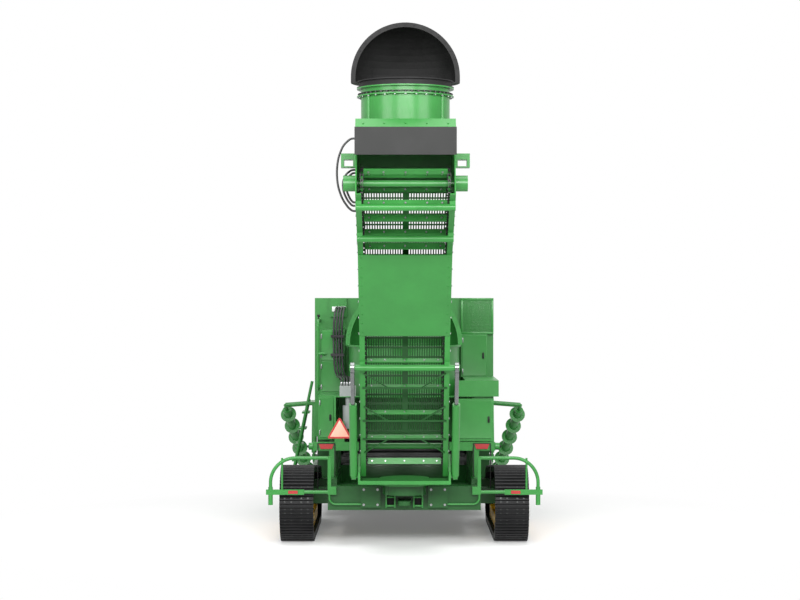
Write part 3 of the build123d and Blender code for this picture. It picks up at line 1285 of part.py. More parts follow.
save(boom, "topper_boom")

with BuildPart() as head:
    for side, word in SIDES:
        inner = BOOM_X + RUN
        side_profile(
            (
                (BOOM_TIP[0] - 60, BOOM_TIP[1] - 60),
                (BOOM_TIP[0] - 60, BOOM_TIP[1] + 60),
                (TOPPER_Y, BOOM_TIP[1] + 60),
                (TOPPER_Y, BOOM_TIP[1] - 10),
            ),
            side * inner,
            side * (inner + BOOM_THICK),
        )
        drum((side * (inner - BOOM_THICK / 2), *BOOM_TIP), BOOM_PIN_R, BOOM_THICK + 2 * RUN, "x")
        block(
            (side * inner, side * (TOPPER_X + 90)),
            (TOPPER_Y - 90, TOPPER_Y + 90),
            (BOOM_TIP[1] - 10, BOOM_TIP[1] + 60),
        )
        drum((side * TOPPER_X, TOPPER_Y, BOOM_TIP[1] + 100), 90, 120)
        shaft = BOOM_TIP[1] - TOPPER_Z[0]
        drum((side * TOPPER_X, TOPPER_Y, TOPPER_Z[0] + shaft / 2), TOPPER_SHAFT_R, shaft)
    block((-inner - BOOM_THICK, inner + BOOM_THICK), (TOPPER_Y - 80, TOPPER_Y), (BOOM_TIP[1], BOOM_TIP[1] + 60))
save(head, "topper_head")

for side, word in SIDES:
    with BuildPart() as topper:
        centre = (side * TOPPER_X, TOPPER_Y, sum(TOPPER_Z) / 2)
        drum(centre, TOPPER_R * 0.62, TOPPER_Z[1] - TOPPER_Z[0])
        with Locations(centre):
            with PolarLocations(TOPPER_R * 0.72, TOPPER_ARMS):
                with GridLocations(0, 0, 1, 1):
                    Box(TOPPER_R * 0.55, 14, 60)
        drum((side * TOPPER_X, TOPPER_Y, TOPPER_Z[0] - 8), TOPPER_R, 16)
        neck = BOOM_TIP[1] - 10 - SEAT - TOPPER_Z[1]
        drum((side * TOPPER_X, TOPPER_Y, TOPPER_Z[1] + neck / 2), 70, neck)
        drum(centre, TOPPER_SHAFT_R + SEAT, 4 * TOPPER_R, mode=Mode.SUBTRACT)
        hollow = TOPPER_Z[1] - TOPPER_Z[0] + 4 * PLATE
        drum((*centre[:2], centre[2] - 3 * PLATE), TOPPER_R * 0.62 - PLATE, hollow, mode=Mode.SUBTRACT)
    save(topper, f"topper_drum_{word}")
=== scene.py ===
"""Looks of the tracked sugarcane harvester: finishes, slotted floor, chains, bolts, doors and fittings."""

from math import atan2, cos, hypot, pi, radians, sin

import bpy
from mathutils import Matrix, Vector


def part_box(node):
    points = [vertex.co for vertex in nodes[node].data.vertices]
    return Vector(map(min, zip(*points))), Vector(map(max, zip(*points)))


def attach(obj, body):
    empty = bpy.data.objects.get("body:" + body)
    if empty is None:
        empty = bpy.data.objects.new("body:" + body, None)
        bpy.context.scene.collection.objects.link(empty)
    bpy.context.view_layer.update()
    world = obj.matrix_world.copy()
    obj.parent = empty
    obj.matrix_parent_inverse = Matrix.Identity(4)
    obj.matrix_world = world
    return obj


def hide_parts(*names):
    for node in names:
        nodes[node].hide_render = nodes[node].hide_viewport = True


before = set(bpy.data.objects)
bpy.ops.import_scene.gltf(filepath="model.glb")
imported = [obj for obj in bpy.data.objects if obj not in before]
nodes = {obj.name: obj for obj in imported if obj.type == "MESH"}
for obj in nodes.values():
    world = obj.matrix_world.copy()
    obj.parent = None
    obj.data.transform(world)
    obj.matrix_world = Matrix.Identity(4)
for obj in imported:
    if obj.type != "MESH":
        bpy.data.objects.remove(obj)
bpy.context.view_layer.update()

# Paints and finishes, as linear colours
GREEN = (0.024, 0.170, 0.030)
# Green darkened as painted shade, for the frame, beam, axles, elevator floor and braces, swing motor and
# throat bulkhead under and inside the machine
SHADED_GREEN = (0.005, 0.058, 0.008)
YELLOW = (0.72, 0.42, 0.015)
TRACK_BLACK = (0.007, 0.007, 0.0075)
HOOD_BLACK = (0.007, 0.007, 0.007)
FLAP_GREY = (0.012, 0.0125, 0.012)
HOSE_BLACK = (0.012, 0.012, 0.013)
STEEL_GREY = (0.30, 0.31, 0.31)
PALE_GREY = (0.62, 0.64, 0.63)
ROD_GREY = (0.20, 0.21, 0.21)
VALVE_GREY = (0.22, 0.24, 0.23)
SIGN_PINK = (0.92, 0.40, 0.30)
SIGN_RED = (0.42, 0.03, 0.03)
LAMP_RED = (0.30, 0.012, 0.012)
SEAT_BLACK = (0.022, 0.022, 0.025)
IRON_GREY = (0.12, 0.12, 0.12)
CHAIN_STEEL = (0.055, 0.056, 0.055)


def new_material(name):
    """A material with its shader, and the object's own coordinates."""
    material = bpy.data.materials.new(name)
    material.use_nodes = True
    tree = material.node_tree
    shader = tree.nodes["Principled BSDF"]
    place = tree.nodes.new("ShaderNodeTexCoord").outputs["Object"]
    return material, tree, shader, place


def noise(tree, place, scale, detail=3.0, roughness=0.5):
    """A noise pattern at a scale per metre."""
    node = tree.nodes.new("ShaderNodeTexNoise")
    node.inputs["Scale"].default_value = scale
    node.inputs["Detail"].default_value = detail
    node.inputs["Roughness"].default_value = roughness
    tree.links.new(place, node.inputs["Vector"])
    return node.outputs["Fac"]


def ranged(tree, value, low, high, start=0.3, end=0.7):
    """A value brought from one span into another."""
    node = tree.nodes.new("ShaderNodeMapRange")
    node.inputs["From Min"].default_value = start
    node.inputs["From Max"].default_value = end
    node.inputs["To Min"].default_value = low
    node.inputs["To Max"].default_value = high
    tree.links.new(value, node.inputs["Value"])
    return node.outputs["Result"]


def blended(tree, share, first, second):
    """A colour between two, by a share; each may be a colour or a socket."""
    node = tree.nodes.new("ShaderNodeMix")
    node.data_type = "RGBA"
    tree.links.new(share, node.inputs["Factor"])
    for socket, colour in ((node.inputs["A"], first), (node.inputs["B"], second)):
        if isinstance(colour, tuple):
            socket.default_value = (*colour, 1)
        else:
            tree.links.new(colour, socket)
    return node.outputs["Result"]


def bumped(tree, shader, height, strength, distance):
    """Surface relief from a height pattern."""
    node = tree.nodes.new("ShaderNodeBump")
    node.inputs["Strength"].default_value = strength
    node.inputs["Distance"].default_value = distance
    tree.links.new(height, node.inputs["Height"])
    tree.links.new(node.outputs["Normal"], shader.inputs["Normal"])


def tinted(colour, factor):
    """A colour made lighter or darker."""
    return tuple(min(channel * factor, 1.0) for channel in colour)


def paint(name, colour, gloss=0.34, coat=0.12):
    """Sprayed machine paint: slight clouding, orange peel and a clear gloss."""
    material, tree, shader, place = new_material(name)
    clouds = noise(tree, place, 1.3, 4.0, 0.6)
    dust = noise(tree, place, 9.0, 5.0, 0.65)
    shade = blended(tree, ranged(tree, clouds, 0, 1), tinted(colour, 0.88), tinted(colour, 1.10))
    faded = blended(tree, ranged(tree, dust, 0.0, 0.10, 0.45, 0.8), shade, tinted(colour, 1.9))
    tree.links.new(faded, shader.inputs["Base Color"])
    tree.links.new(ranged(tree, dust, gloss - 0.06, gloss + 0.10), shader.inputs["Roughness"])
    shader.inputs["Coat Weight"].default_value = coat
    shader.inputs["Specular IOR Level"].default_value = 0.3
    shader.inputs["Coat Roughness"].default_value = 0.12
    bumped(tree, shader, noise(tree, place, 160.0, 2.0), 0.05, 0.002)
    return material


def rough_black(name, colour, gloss=0.6, grain=120.0, relief=0.25):
    """Moulded or rubber black with a fine grain."""
    material, tree, shader, place = new_material(name)
    patches = noise(tree, place, 3.0, 5.0, 0.6)
    tree.links.new(blended(tree, ranged(tree, patches, 0, 1), tinted(colour, 0.75), tinted(colour, 1.5)),
                   shader.inputs["Base Color"])
    tree.links.new(ranged(tree, patches, gloss - 0.08, gloss + 0.12), shader.inputs["Roughness"])
    shader.inputs["Specular IOR Level"].default_value = 0.25
    bumped(tree, shader, noise(tree, place, grain, 4.0), relief, 0.003)
    return material


def bare_metal(name, colour, gloss=0.32):
    """Plain metal with fine scratches and dull patches."""
    material, tree, shader, place = new_material(name)
    patches = noise(tree, place, 7.0, 6.0, 0.6)
    tree.links.new(blended(tree, ranged(tree, patches, 0, 1), tinted(colour, 0.8), tinted(colour, 1.1)),
                   shader.inputs["Base Color"])
    tree.links.new(ranged(tree, patches, gloss - 0.1, gloss + 0.14), shader.inputs["Roughness"])
    shader.inputs["Metallic"].default_value = 0.9
    bumped(tree, shader, noise(tree, place, 220.0, 3.0), 0.08, 0.001)
    return material


def lens(name, colour):
    """Red lamp plastic with fine ribs."""
    material, tree, shader, place = new_material(name)
    ribs = tree.nodes.new("ShaderNodeTexWave")
    ribs.inputs["Scale"].default_value = 30.0
    tree.links.new(place, ribs.inputs["Vector"])
    tree.links.new(blended(tree, ribs.outputs["Fac"], tinted(colour, 0.8), tinted(colour, 1.25)),
                   shader.inputs["Base Color"])
    shader.inputs["Roughness"].default_value = 0.18
    shader.inputs["Coat Weight"].default_value = 0.6
    bumped(tree, shader, ribs.outputs["Fac"], 0.3, 0.002)
    return material


def cab_pane(name):
    """Lightly tinted glass with a faint film."""
    material, tree, shader, place = new_material(name)
    film = noise(tree, place, 2.5, 4.0)
    tree.links.new(blended(tree, film, (0.62, 0.72, 0.68), (0.72, 0.80, 0.77)), shader.inputs["Base Color"])
    tree.links.new(ranged(tree, film, 0.02, 0.06), shader.inputs["Roughness"])
    shader.inputs["Transmission Weight"].default_value = 0.9
    shader.inputs["IOR"].default_value = 1.2
    return material


# The head's hoses lie to the left of this span of X and ahead of this span of Y
HOSES_LEFT_OF = (-0.597, -0.594)
HOSES_AHEAD_OF = (-5.96, -5.95)


def drive_paint(name, colour, hose):
    """Green paint, and hose black where the head's hoses loop out on the left."""
    material, tree, shader, place = new_material(name)
    split = tree.nodes.new("ShaderNodeSeparateXYZ")
    tree.links.new(place, split.inputs["Vector"])
    share = tree.nodes.new("ShaderNodeMath")
    share.operation = "MULTIPLY"
    tree.links.new(ranged(tree, split.outputs["X"], 1.0, 0.0, *HOSES_LEFT_OF), share.inputs[0])
    tree.links.new(ranged(tree, split.outputs["Y"], 0.0, 1.0, *HOSES_AHEAD_OF), share.inputs[1])
    clouds = noise(tree, place, 2.0, 4.0, 0.6)
    shade = blended(tree, ranged(tree, clouds, 0, 1), tinted(colour, 0.88), tinted(colour, 1.10))
    tree.links.new(blended(tree, share.outputs["Value"], shade, hose), shader.inputs["Base Color"])
    tree.links.new(ranged(tree, clouds, 0.28, 0.40), shader.inputs["Roughness"])
    bumped(tree, shader, noise(tree, place, 160.0, 2.0), 0.05, 0.002)
    return material


def woven(name, colour):
    """Seat cloth."""
    material, tree, shader, place = new_material(name)
    threads = noise(tree, place, 420.0, 2.0)
    shade = blended(tree, threads, tinted(colour, 0.6), tinted(colour, 1.8))
    tree.links.new(shade, shader.inputs["Base Color"])
    shader.inputs["Roughness"].default_value = 0.9
    shader.inputs["Sheen Weight"].default_value = 0.3
    bumped(tree, shader, threads, 0.4, 0.002)
    return material


green = paint("green_paint", GREEN)
# the green paint darkened as painted shade, for parts that sit in shadow
shaded_green = paint("shaded_green_paint", SHADED_GREEN, gloss=0.36)
yellow = paint("yellow_paint", YELLOW)
track_black = rough_black("track_black", TRACK_BLACK, gloss=0.5, grain=60.0)
hood_black = rough_black("hood_black", HOOD_BLACK, gloss=0.62)
flap_grey = rough_black("flap_grey", FLAP_GREY, gloss=0.55)
hose_black = rough_black("hose_black", HOSE_BLACK, gloss=0.35, grain=200.0, relief=0.1)
steel = bare_metal("grey_steel", STEEL_GREY)
chain_steel = bare_metal("chain_steel", CHAIN_STEEL, gloss=0.42)
rod_chrome = bare_metal("rod_chrome", ROD_GREY, gloss=0.22)
valve_grey = paint("valve_grey", VALVE_GREY, gloss=0.42, coat=0.1)
pale_metal = paint("pale_grey_metal", PALE_GREY, gloss=0.4, coat=0.1)
iron = rough_black("engine_iron", IRON_GREY, gloss=0.5)
lamp_red = lens("lamp_red", LAMP_RED)
sign_pink = paint("sign_pink", SIGN_PINK, gloss=0.4, coat=0.2)
sign_red = paint("sign_red", SIGN_RED, gloss=0.35, coat=0.3)
seat_cloth = woven("seat_cloth", SEAT_BLACK)
pane = cab_pane("cab_pane")
drive_green = drive_paint("drive_paint", GREEN, HOSE_BLACK)

# Finish of each CAD node that isn't green
NODE_FINISH = {
    "track_left": track_black,
    "track_right": track_black,
    "track_frame_left": yellow,
    "track_frame_right": yellow,
    # axles, frame and beam take the green darkened as painted shade
    "track_axles": shaded_green,
    "main_frame": shaded_green,
    "rear_beam": shaded_green,
    "secondary_hood": hood_black,
    "bin_flap": flap_grey,
    "cab_glass": pane,
    "door_glass": pane,
    "cab_seat": seat_cloth,
    "engine_block": iron,
    "lift_rods": rod_chrome,
    "tail_lamps": lamp_red,
    "slow_vehicle_sign": sign_red,
    "mirrors": hood_black,
    "valve_block": valve_grey,
    "body_hoses": hose_black,
    "elevator_drive": drive_green,
    "primary_fan": steel,
    "secondary_fan": steel,
}
for index in range(1, 5):
    NODE_FINISH[f"base_cutter_{index}"] = steel
for name, obj in nodes.items():
    obj.data.materials.clear()
    obj.data.materials.append(NODE_FINISH.get(name, green))


# Pieces are modelled in place, joined by kind, and ride on the body that carries them
def clear_selection():
    """Nothing selected and nothing active, so that an operator reaches only the new piece."""
    bpy.ops.object.select_all(action="DESELECT")
    bpy.context.view_layer.objects.active = None


def only(obj):
    """One object selected and active."""
    clear_selection()
    obj.select_set(True)
    bpy.context.view_layer.objects.active = obj


def settle(obj):
    """Puts an object's place, turn and size into its mesh."""
    only(obj)
    bpy.ops.object.transform_apply(location=True, rotation=True, scale=True)
    return obj


def eased(obj, width, segments=2):
    """Rounds every edge of a piece."""
    only(obj)
    bpy.ops.object.mode_set(mode="EDIT")
    bpy.ops.mesh.select_all(action="SELECT")
    bpy.ops.mesh.bevel(offset=width, segments=segments, affect="EDGES", clamp_overlap=True)
    bpy.ops.object.mode_set(mode="OBJECT")
    return obj


def pick_faces(obj, test):
    """Goes to edit mode with the faces selected whose centre and normal pass a test."""
    only(obj)
    bpy.ops.object.mode_set(mode="EDIT")
    bpy.ops.mesh.select_mode(type="FACE")
    bpy.ops.mesh.select_all(action="DESELECT")
    bpy.ops.object.mode_set(mode="OBJECT")
    for face in obj.data.polygons:
        face.select = test(face.center, face.normal)
    bpy.ops.object.mode_set(mode="EDIT")


def slab(low, high, edge=0.004):
    """A plate or box between two corners, with eased edges."""
    clear_selection()
    middle = [(a + b) / 2 for a, b in zip(low, high)]
    bpy.ops.mesh.primitive_cube_add(size=1, location=middle)
    obj = bpy.context.object
    obj.scale = [abs(b - a) for a, b in zip(low, high)]
    return eased(settle(obj), edge)


def bar(start, end, radius, sides=16, edge=0.003):
    """A round bar between two points, with eased ends."""
    clear_selection()
    start, end = Vector(start), Vector(end)
    bpy.ops.mesh.primitive_cylinder_add(
        vertices=sides, radius=radius, depth=(end - start).length, location=(start + end) / 2
    )
    obj = bpy.context.object
    obj.rotation_euler = (end - start).to_track_quat("Z", "Y").to_euler()
    settle(obj)
    pick_faces(obj, lambda centre, normal: abs(normal.dot((end - start).normalized())) > 0.9)
    bpy.ops.mesh.region_to_loop()
    bpy.ops.mesh.bevel(offset=edge, segments=2, affect="EDGES")
    bpy.ops.object.mode_set(mode="OBJECT")
    return obj


def hex_head(width, height):
    """A bolt head that stands on the origin, with a flared foot sunk below it."""
    clear_selection()
    middle = (0, 0, height / 2)
    bpy.ops.mesh.primitive_cylinder_add(vertices=6, radius=width / 2, depth=height, location=middle)
    obj = settle(bpy.context.object)
    pick_faces(obj, lambda centre, normal: normal.z < -0.9)
    bpy.ops.mesh.extrude_region_move(TRANSFORM_OT_translate={"value": (0, 0, -height / 3)})
    bpy.ops.transform.resize(value=(1.3, 1.3, 1))
    bpy.ops.object.mode_set(mode="OBJECT")
    return obj


def facing(point, direction):
    """Place of a copy whose own Z looks along a direction."""
    return Matrix.Translation(point) @ Vector(direction).to_track_quat("Z", "Y").to_matrix().to_4x4()


def joined(pieces, name):
    """One object from several."""
    clear_selection()
    for piece in pieces:
        piece.select_set(True)
    bpy.context.view_layer.objects.active = pieces[0]
    if len(pieces) > 1:
        bpy.ops.object.join()
    pieces[0].name = name
    return pieces[0]


def copies(pattern, places, name):
    """Copies of a pattern at each place, joined."""
    made = []
    for place in places:
        twin = pattern.copy()
        twin.data = pattern.data.copy()
        twin.data.transform(place)
        bpy.context.collection.objects.link(twin)
        made.append(twin)
    bpy.data.objects.remove(pattern)
    return joined(made, name)


def dress(obj, body, material, smooth=30):
    """Finish and body of a piece, with smooth shading by angle."""
    obj.data.materials.clear()
    obj.data.materials.append(material)
    only(obj)
    bpy.ops.object.shade_smooth_by_angle(angle=radians(smooth))
    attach(obj, body)
    return obj


def row(first, last, count):
    """Points spread evenly from one to another."""
    first, last = Vector(first), Vector(last)
    return [first.lerp(last, index / (count - 1)) for index in range(count)]


def frame_of(low, high, y, width, proud):
    """Four strips round a rectangle on a rear face; low and high are (x, z)."""
    (x0, z0), (x1, z1) = low, high
    spans = (
        ((x0, z0), (x1, z0 + width)),
        ((x0, z1 - width), (x1, z1)),
        ((x0, z0 + width), (x0 + width, z1 - width)),
        ((x1 - width, z0 + width), (x1, z1 - width)),
    )
    return [slab((a[0], y - proud, a[1]), (b[0], y + 0.001, b[1]), 0.003) for a, b in spans]


REARWARD = (0, -1, 0)

# Elevator: slotted floor, roller chain, slat bolts and plate bolts
SLEW_Y = -2.45
UNDERSIDE = ((0.3, 1.0), (1.48, 2.94), (2.52, 3.97), (4.1, 4.64))
FLOOR_DEPTH = 0.29
FLOOR_ENDS = 0.53
FLOOR_HALF = 0.5785
SIDE_X = 0.5925
CHAIN_X = 0.52
CHAIN_ENDS = 0.30
CHAIN_R = 0.17
TURN_STEPS = 12


def elevator_line(depth, ends):
    """(y, z) points of the underside moved in by a depth, shortened at both ends."""
    points = [Vector(point) for point in UNDERSIDE]
    along = [(b - a).normalized() for a, b in zip(points, points[1:])]
    normal = [Vector((-u.y, u.x)) for u in along]
    moved = [points[0] + normal[0] * depth + along[0] * ends]
    for point, first, second in zip(points[1:-1], normal, normal[1:]):
        moved.append(point + (first + second) * (depth / (1 + first.dot(second))))
    moved.append(points[-1] + normal[-1] * depth - along[-1] * ends)
    return [(SLEW_Y - p.x, p.y) for p in moved]


def slotted_sheet(start, end):
    """A floor plate between two (y, z) points, with rows of slots and plain edges and middle."""
    cell, slot_row, rows_apart = 0.016, 0.03, 5
    middle_band, edge_band, thickness = 0.03, 0.05, 0.008
    length = hypot(end[0] - start[0], end[1] - start[1])
    columns, rows = round(2 * FLOOR_HALF / cell), round(length / slot_row)
    clear_selection()
    bpy.ops.mesh.primitive_grid_add(x_subdivisions=columns, y_subdivisions=rows, size=1)
    obj = bpy.context.object
    obj.scale = (2 * FLOOR_HALF, length, 1)
    settle(obj)

    def slot(centre, normal):
        column = round((centre.x + FLOOR_HALF) / cell - 0.5)
        line = int((centre.y + length / 2) / length * rows)
        plain = abs(centre.x) < middle_band or abs(centre.x) > FLOOR_HALF - edge_band
        return column % 2 == 1 and line % rows_apart != 0 and not plain

    pick_faces(obj, slot)
    bpy.ops.mesh.delete(type="FACE")
    bpy.ops.object.mode_set(mode="OBJECT")
    obj.rotation_euler = (atan2(end[1] - start[1], end[0] - start[0]), 0, 0)
    obj.location = (0, (start[0] + end[0]) / 2, (start[1] + end[1]) / 2)
    settle(obj)
    wall = obj.modifiers.new("wall", "SOLIDIFY")
    wall.thickness = thickness
    wall.offset = 0
    bpy.ops.object.modifier_apply(modifier="wall")
    return obj


floor_line = elevator_line(FLOOR_DEPTH, FLOOR_ENDS)
floor_plates = joined([slotted_sheet(a, b) for a, b in zip(floor_line, floor_line[1:])], "slotted_floor")
# the slotted floor takes the green darkened as painted shade
dress(floor_plates, "elevator", shaded_green)
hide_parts("elevator_floor")


def chain_loop():
    """Closed (y, z) line of a chain: the return run, the head, the upper run and the tail."""
    below = elevator_line(FLOOR_DEPTH - CHAIN_R, CHAIN_ENDS)
    above = elevator_line(FLOOR_DEPTH + CHAIN_R, CHAIN_ENDS)
    middle = elevator_line(FLOOR_DEPTH, CHAIN_ENDS)
    loop = list(below)
    for centre, first, run in ((middle[-1], below[-1], above[::-1]), (middle[0], above[0], [])):
        start = atan2(first[1] - centre[1], first[0] - centre[0])
        for step in range(1, TURN_STEPS):
            turn = start - pi * step / TURN_STEPS
            loop.append((centre[0] + CHAIN_R * cos(turn), centre[1] + CHAIN_R * sin(turn)))
        loop += run
    return loop


def along_loop(loop, pitch):
    """(y, z, angle) at even steps round a closed line."""
    runs = [(Vector(a), Vector(b)) for a, b in zip(loop, loop[1:] + loop[:1])]
    total = sum((b - a).length for a, b in runs)
    count = round(total / pitch)
    found, travelled, index = [], 0.0, 0
    for a, b in runs:
        length = (b - a).length
        while index < count and index * total / count < travelled + length:
            point = a.lerp(b, (index * total / count - travelled) / length)
            found.append((point.x, point.y, atan2(b.y - a.y, b.x - a.x)))
            index += 1
        travelled += length
    return found


LINK = 0.075
PLATE_R = 0.0175
PLATE_WALL = 0.004
INNER_X = 0.012
OUTER_X = 0.0175
ROLLER_R = 0.012
RING_PIN_R = 0.010


def link_plate(x, middle):
    """One side plate of the chain, rounded at both pins."""
    clear_selection()
    bpy.ops.mesh.primitive_cylinder_add(
        vertices=8, radius=PLATE_R, depth=PLATE_WALL, location=(x, middle, 0), rotation=(0, pi / 2, 0)
    )
    obj = settle(bpy.context.object)
    for end in (-1, 1):
        only(obj)
        bpy.ops.object.mode_set(mode="EDIT")
        bpy.ops.mesh.select_all(action="DESELECT")
        bpy.ops.object.mode_set(mode="OBJECT")
        for vertex in obj.data.vertices:
            vertex.select = (vertex.co.y - middle) * end > 0.001
        bpy.ops.object.mode_set(mode="EDIT")
        bpy.ops.transform.translate(value=(0, end * LINK / 2, 0))
        bpy.ops.object.mode_set(mode="OBJECT")
    return obj


inner_plates = [link_plate(x, 0) for x in (-INNER_X, INNER_X)]
outer_plates = [link_plate(x, LINK) for x in (-OUTER_X, OUTER_X)]
rollers = [bar((-INNER_X, y, 0), (INNER_X, y, 0), ROLLER_R, 8, 0.001) for y in (-LINK / 2, LINK / 2)]
link = joined(inner_plates + outer_plates + rollers, "chain_link")
link_places = [
    Matrix.Translation((side * CHAIN_X, y, z)) @ Matrix.Rotation(angle, 4, "X")
    for side in (-1, 1)
    for y, z, angle in along_loop(chain_loop(), 2 * LINK)
]
chain = dress(copies(link, link_places, "roller_chain"), "elevator", chain_steel)
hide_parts("elevator_chain")

SLAT_REACH = 0.15
SAME_CORNER = 0.004


def slat_faces():
    """Centre, thickness direction and half thickness of each slat, read from the CAD node."""
    groups = []
    for vertex in nodes["elevator_slats"].data.vertices:
        point = Vector((vertex.co.y, vertex.co.z))
        for group in groups:
            if (group[0] - point).length < SLAT_REACH:
                if all((other - point).length > SAME_CORNER for other in group):
                    group.append(point)
                break
        else:
            groups.append([point])
    for group in groups:
        first, *others = group
        others.sort(key=lambda point: (point - first).length)
        across = others[0] - first
        centre = sum(group, Vector((0, 0))) / len(group)
        yield centre, across.normalized(), across.length / 2


SLAT_BOLTS_X = (-0.44, -0.26, 0.0, 0.26, 0.44)
slat_bolts = []
for centre, across, half in slat_faces():
    for x in SLAT_BOLTS_X:
        for way in (-1, 1):
            spot = centre + across * way * (half + 0.001)
            slat_bolts.append(facing((x, spot.x, spot.y), (0, across.x * way, across.y * way)))
dress(copies(hex_head(0.024, 0.010), slat_bolts, "slat_bolts"), "elevator", steel)

SIDE_BOLT_DEPTHS = (0.035, 0.765)
SIDE_BOLT_ENDS = 0.12
SIDE_BOLT_PITCH = 0.24
side_bolts = []
for depth in SIDE_BOLT_DEPTHS:
    line = elevator_line(depth, SIDE_BOLT_ENDS)
    for a, b in zip(line, line[1:]):
        count = max(3, round(hypot(b[0] - a[0], b[1] - a[1]) / SIDE_BOLT_PITCH))
        for point in row((0, *a), (0, *b), count)[:-1]:
            for side in (-1, 1):
                side_bolts.append(facing((side * SIDE_X, point.y, point.z), (side, 0, 0)))
dress(copies(hex_head(0.028, 0.010), side_bolts, "side_plate_bolts"), "elevator", steel)

# Tracks: bolts in the flats between the grousers of every shoe
TRACK_X = 1.5
# (y, radius over the grouser tips) of the loop's two ends
SPROCKET = (-1.715, 0.535)
IDLER = (0.72, 0.43)
SHOES = 49
GROUSERS = 3
GROUSER = 0.028
SHOE_BOLT_SHARES = (0.22, 1.22)
SHOE_BOLTS_X = (-0.16, -0.07, 0.07, 0.16)
TRACK_SPAN = IDLER[0] - SPROCKET[0]
TRACK_LEAN = 2 * atan2(SPROCKET[1] - IDLER[1], TRACK_SPAN)
TRACK_LENGTH = 2 * TRACK_SPAN + IDLER[1] * (pi - TRACK_LEAN) + SPROCKET[1] * (pi + TRACK_LEAN)


def loop_point(along, depth):
    """(y, z) a given way round the track, a given depth inside the grouser tips."""
    runs = (TRACK_SPAN, IDLER[1] * (pi - TRACK_LEAN), TRACK_SPAN)
    if along < runs[0]:
        return SPROCKET[0] + along, depth
    along -= runs[0]
    if along < runs[1]:
        turn = along / IDLER[1]
        return IDLER[0] + (IDLER[1] - depth) * sin(turn), IDLER[1] - (IDLER[1] - depth) * cos(turn)
    along -= runs[1]
    turn = pi - TRACK_LEAN
    if along < runs[2]:
        y = IDLER[0] + (IDLER[1] - depth) * sin(turn)
        z = IDLER[1] - (IDLER[1] - depth) * cos(turn)
        return y + along * cos(turn), z + along * sin(turn)
    turn += (along - runs[2]) / SPROCKET[1]
    return SPROCKET[0] + (SPROCKET[1] - depth) * sin(turn), SPROCKET[1] - (SPROCKET[1] - depth) * cos(turn)


shoe = TRACK_LENGTH / SHOES
shoe_bolts = []
for index in range(SHOES):
    for share in SHOE_BOLT_SHARES:
        along = (index + share / GROUSERS) * shoe
        foot = Vector((0, *loop_point(along, GROUSER + 0.001)))
        tip = Vector((0, *loop_point(along, 0)))
        for x in SHOE_BOLTS_X:
            for side in (-1, 1):
                shoe_bolts.append(facing(foot + Vector((side * TRACK_X + x, 0, 0)), tip - foot))
dress(copies(hex_head(0.026, 0.012), shoe_bolts, "shoe_bolts"), "chassis", chain_steel)

# Slow-vehicle sign: a blank pale triangle on the red plate
SIGN_X = -0.914
SIGN_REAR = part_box("slow_vehicle_sign")[0][1]
SIGN_MIDDLE_Z = 1.543
SIGN_FILL_R = 0.156
clear_selection()
bpy.ops.mesh.primitive_cylinder_add(
    vertices=3, radius=SIGN_FILL_R, depth=0.003, location=(SIGN_X, SIGN_REAR - 0.0012, SIGN_MIDDLE_Z),
    rotation=(pi / 2, 0, 0),
)
sign_fill = eased(settle(bpy.context.object), 0.0008)
sign_fill.name = "sign_fill"
dress(sign_fill, "chassis", sign_pink)

# Tail lamps: black bezels round the lenses, and a round black button beside each
lamp_low, lamp_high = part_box("tail_lamps")
LAMP_X = 1.1
LAMP_HALF = 0.115
BEZEL_OUT = 0.012
BEZEL_WIDTH = 0.014
BEZEL_PROUD = 0.018
BUTTON_R = 0.022
BUTTON_X = 1.35
BUTTON_Z = 1.33
BUTTON_Y = (-1.706, -1.69)
lamp_bezels = []
for side in (-1, 1):
    middle = side * LAMP_X
    lamp_bezels += frame_of(
        (middle - LAMP_HALF - BEZEL_OUT, lamp_low[2] - BEZEL_OUT),
        (middle + LAMP_HALF + BEZEL_OUT, lamp_high[2] + BEZEL_OUT),
        lamp_high[1] - 0.001, BEZEL_WIDTH, BEZEL_PROUD,
    )
    button_ends = [(side * BUTTON_X, y, BUTTON_Z) for y in BUTTON_Y]
    lamp_bezels.append(bar(*button_ends, BUTTON_R, 20))
dress(joined(lamp_bezels, "lamp_bezels"), "chassis", hood_black)

# Rear panels: square mesh panel, doors, latches and hinges
MESH_LOW, MESH_HIGH, MESH_Y = (0.85, 2.89), (1.34, 3.43), -0.10
MESH_RIM = 0.035
MESH_TUCK = 0.03
MESH_COUNT = 22
WIRE_HALF = 0.003
mesh_parts = frame_of(MESH_LOW, MESH_HIGH, MESH_Y, MESH_RIM, 0.014)
for index in range(1, MESH_COUNT):
    x = MESH_LOW[0] + MESH_RIM + (MESH_HIGH[0] - MESH_LOW[0] - 2 * MESH_RIM) * index / MESH_COUNT
    z = MESH_LOW[1] + MESH_RIM + (MESH_HIGH[1] - MESH_LOW[1] - 2 * MESH_RIM) * index / MESH_COUNT
    upright = (x - WIRE_HALF, MESH_Y - 0.006, MESH_LOW[1] + MESH_TUCK)
    mesh_parts.append(slab(upright, (x + WIRE_HALF, MESH_Y + 0.001, MESH_HIGH[1] - MESH_TUCK), 0.001))
    level = (MESH_LOW[0] + MESH_TUCK, MESH_Y - 0.009, z - WIRE_HALF)
    mesh_parts.append(slab(level, (MESH_HIGH[0] - MESH_TUCK, MESH_Y - 0.004, z + WIRE_HALF), 0.001))
dress(joined(mesh_parts, "radiator_mesh"), "chassis", green)

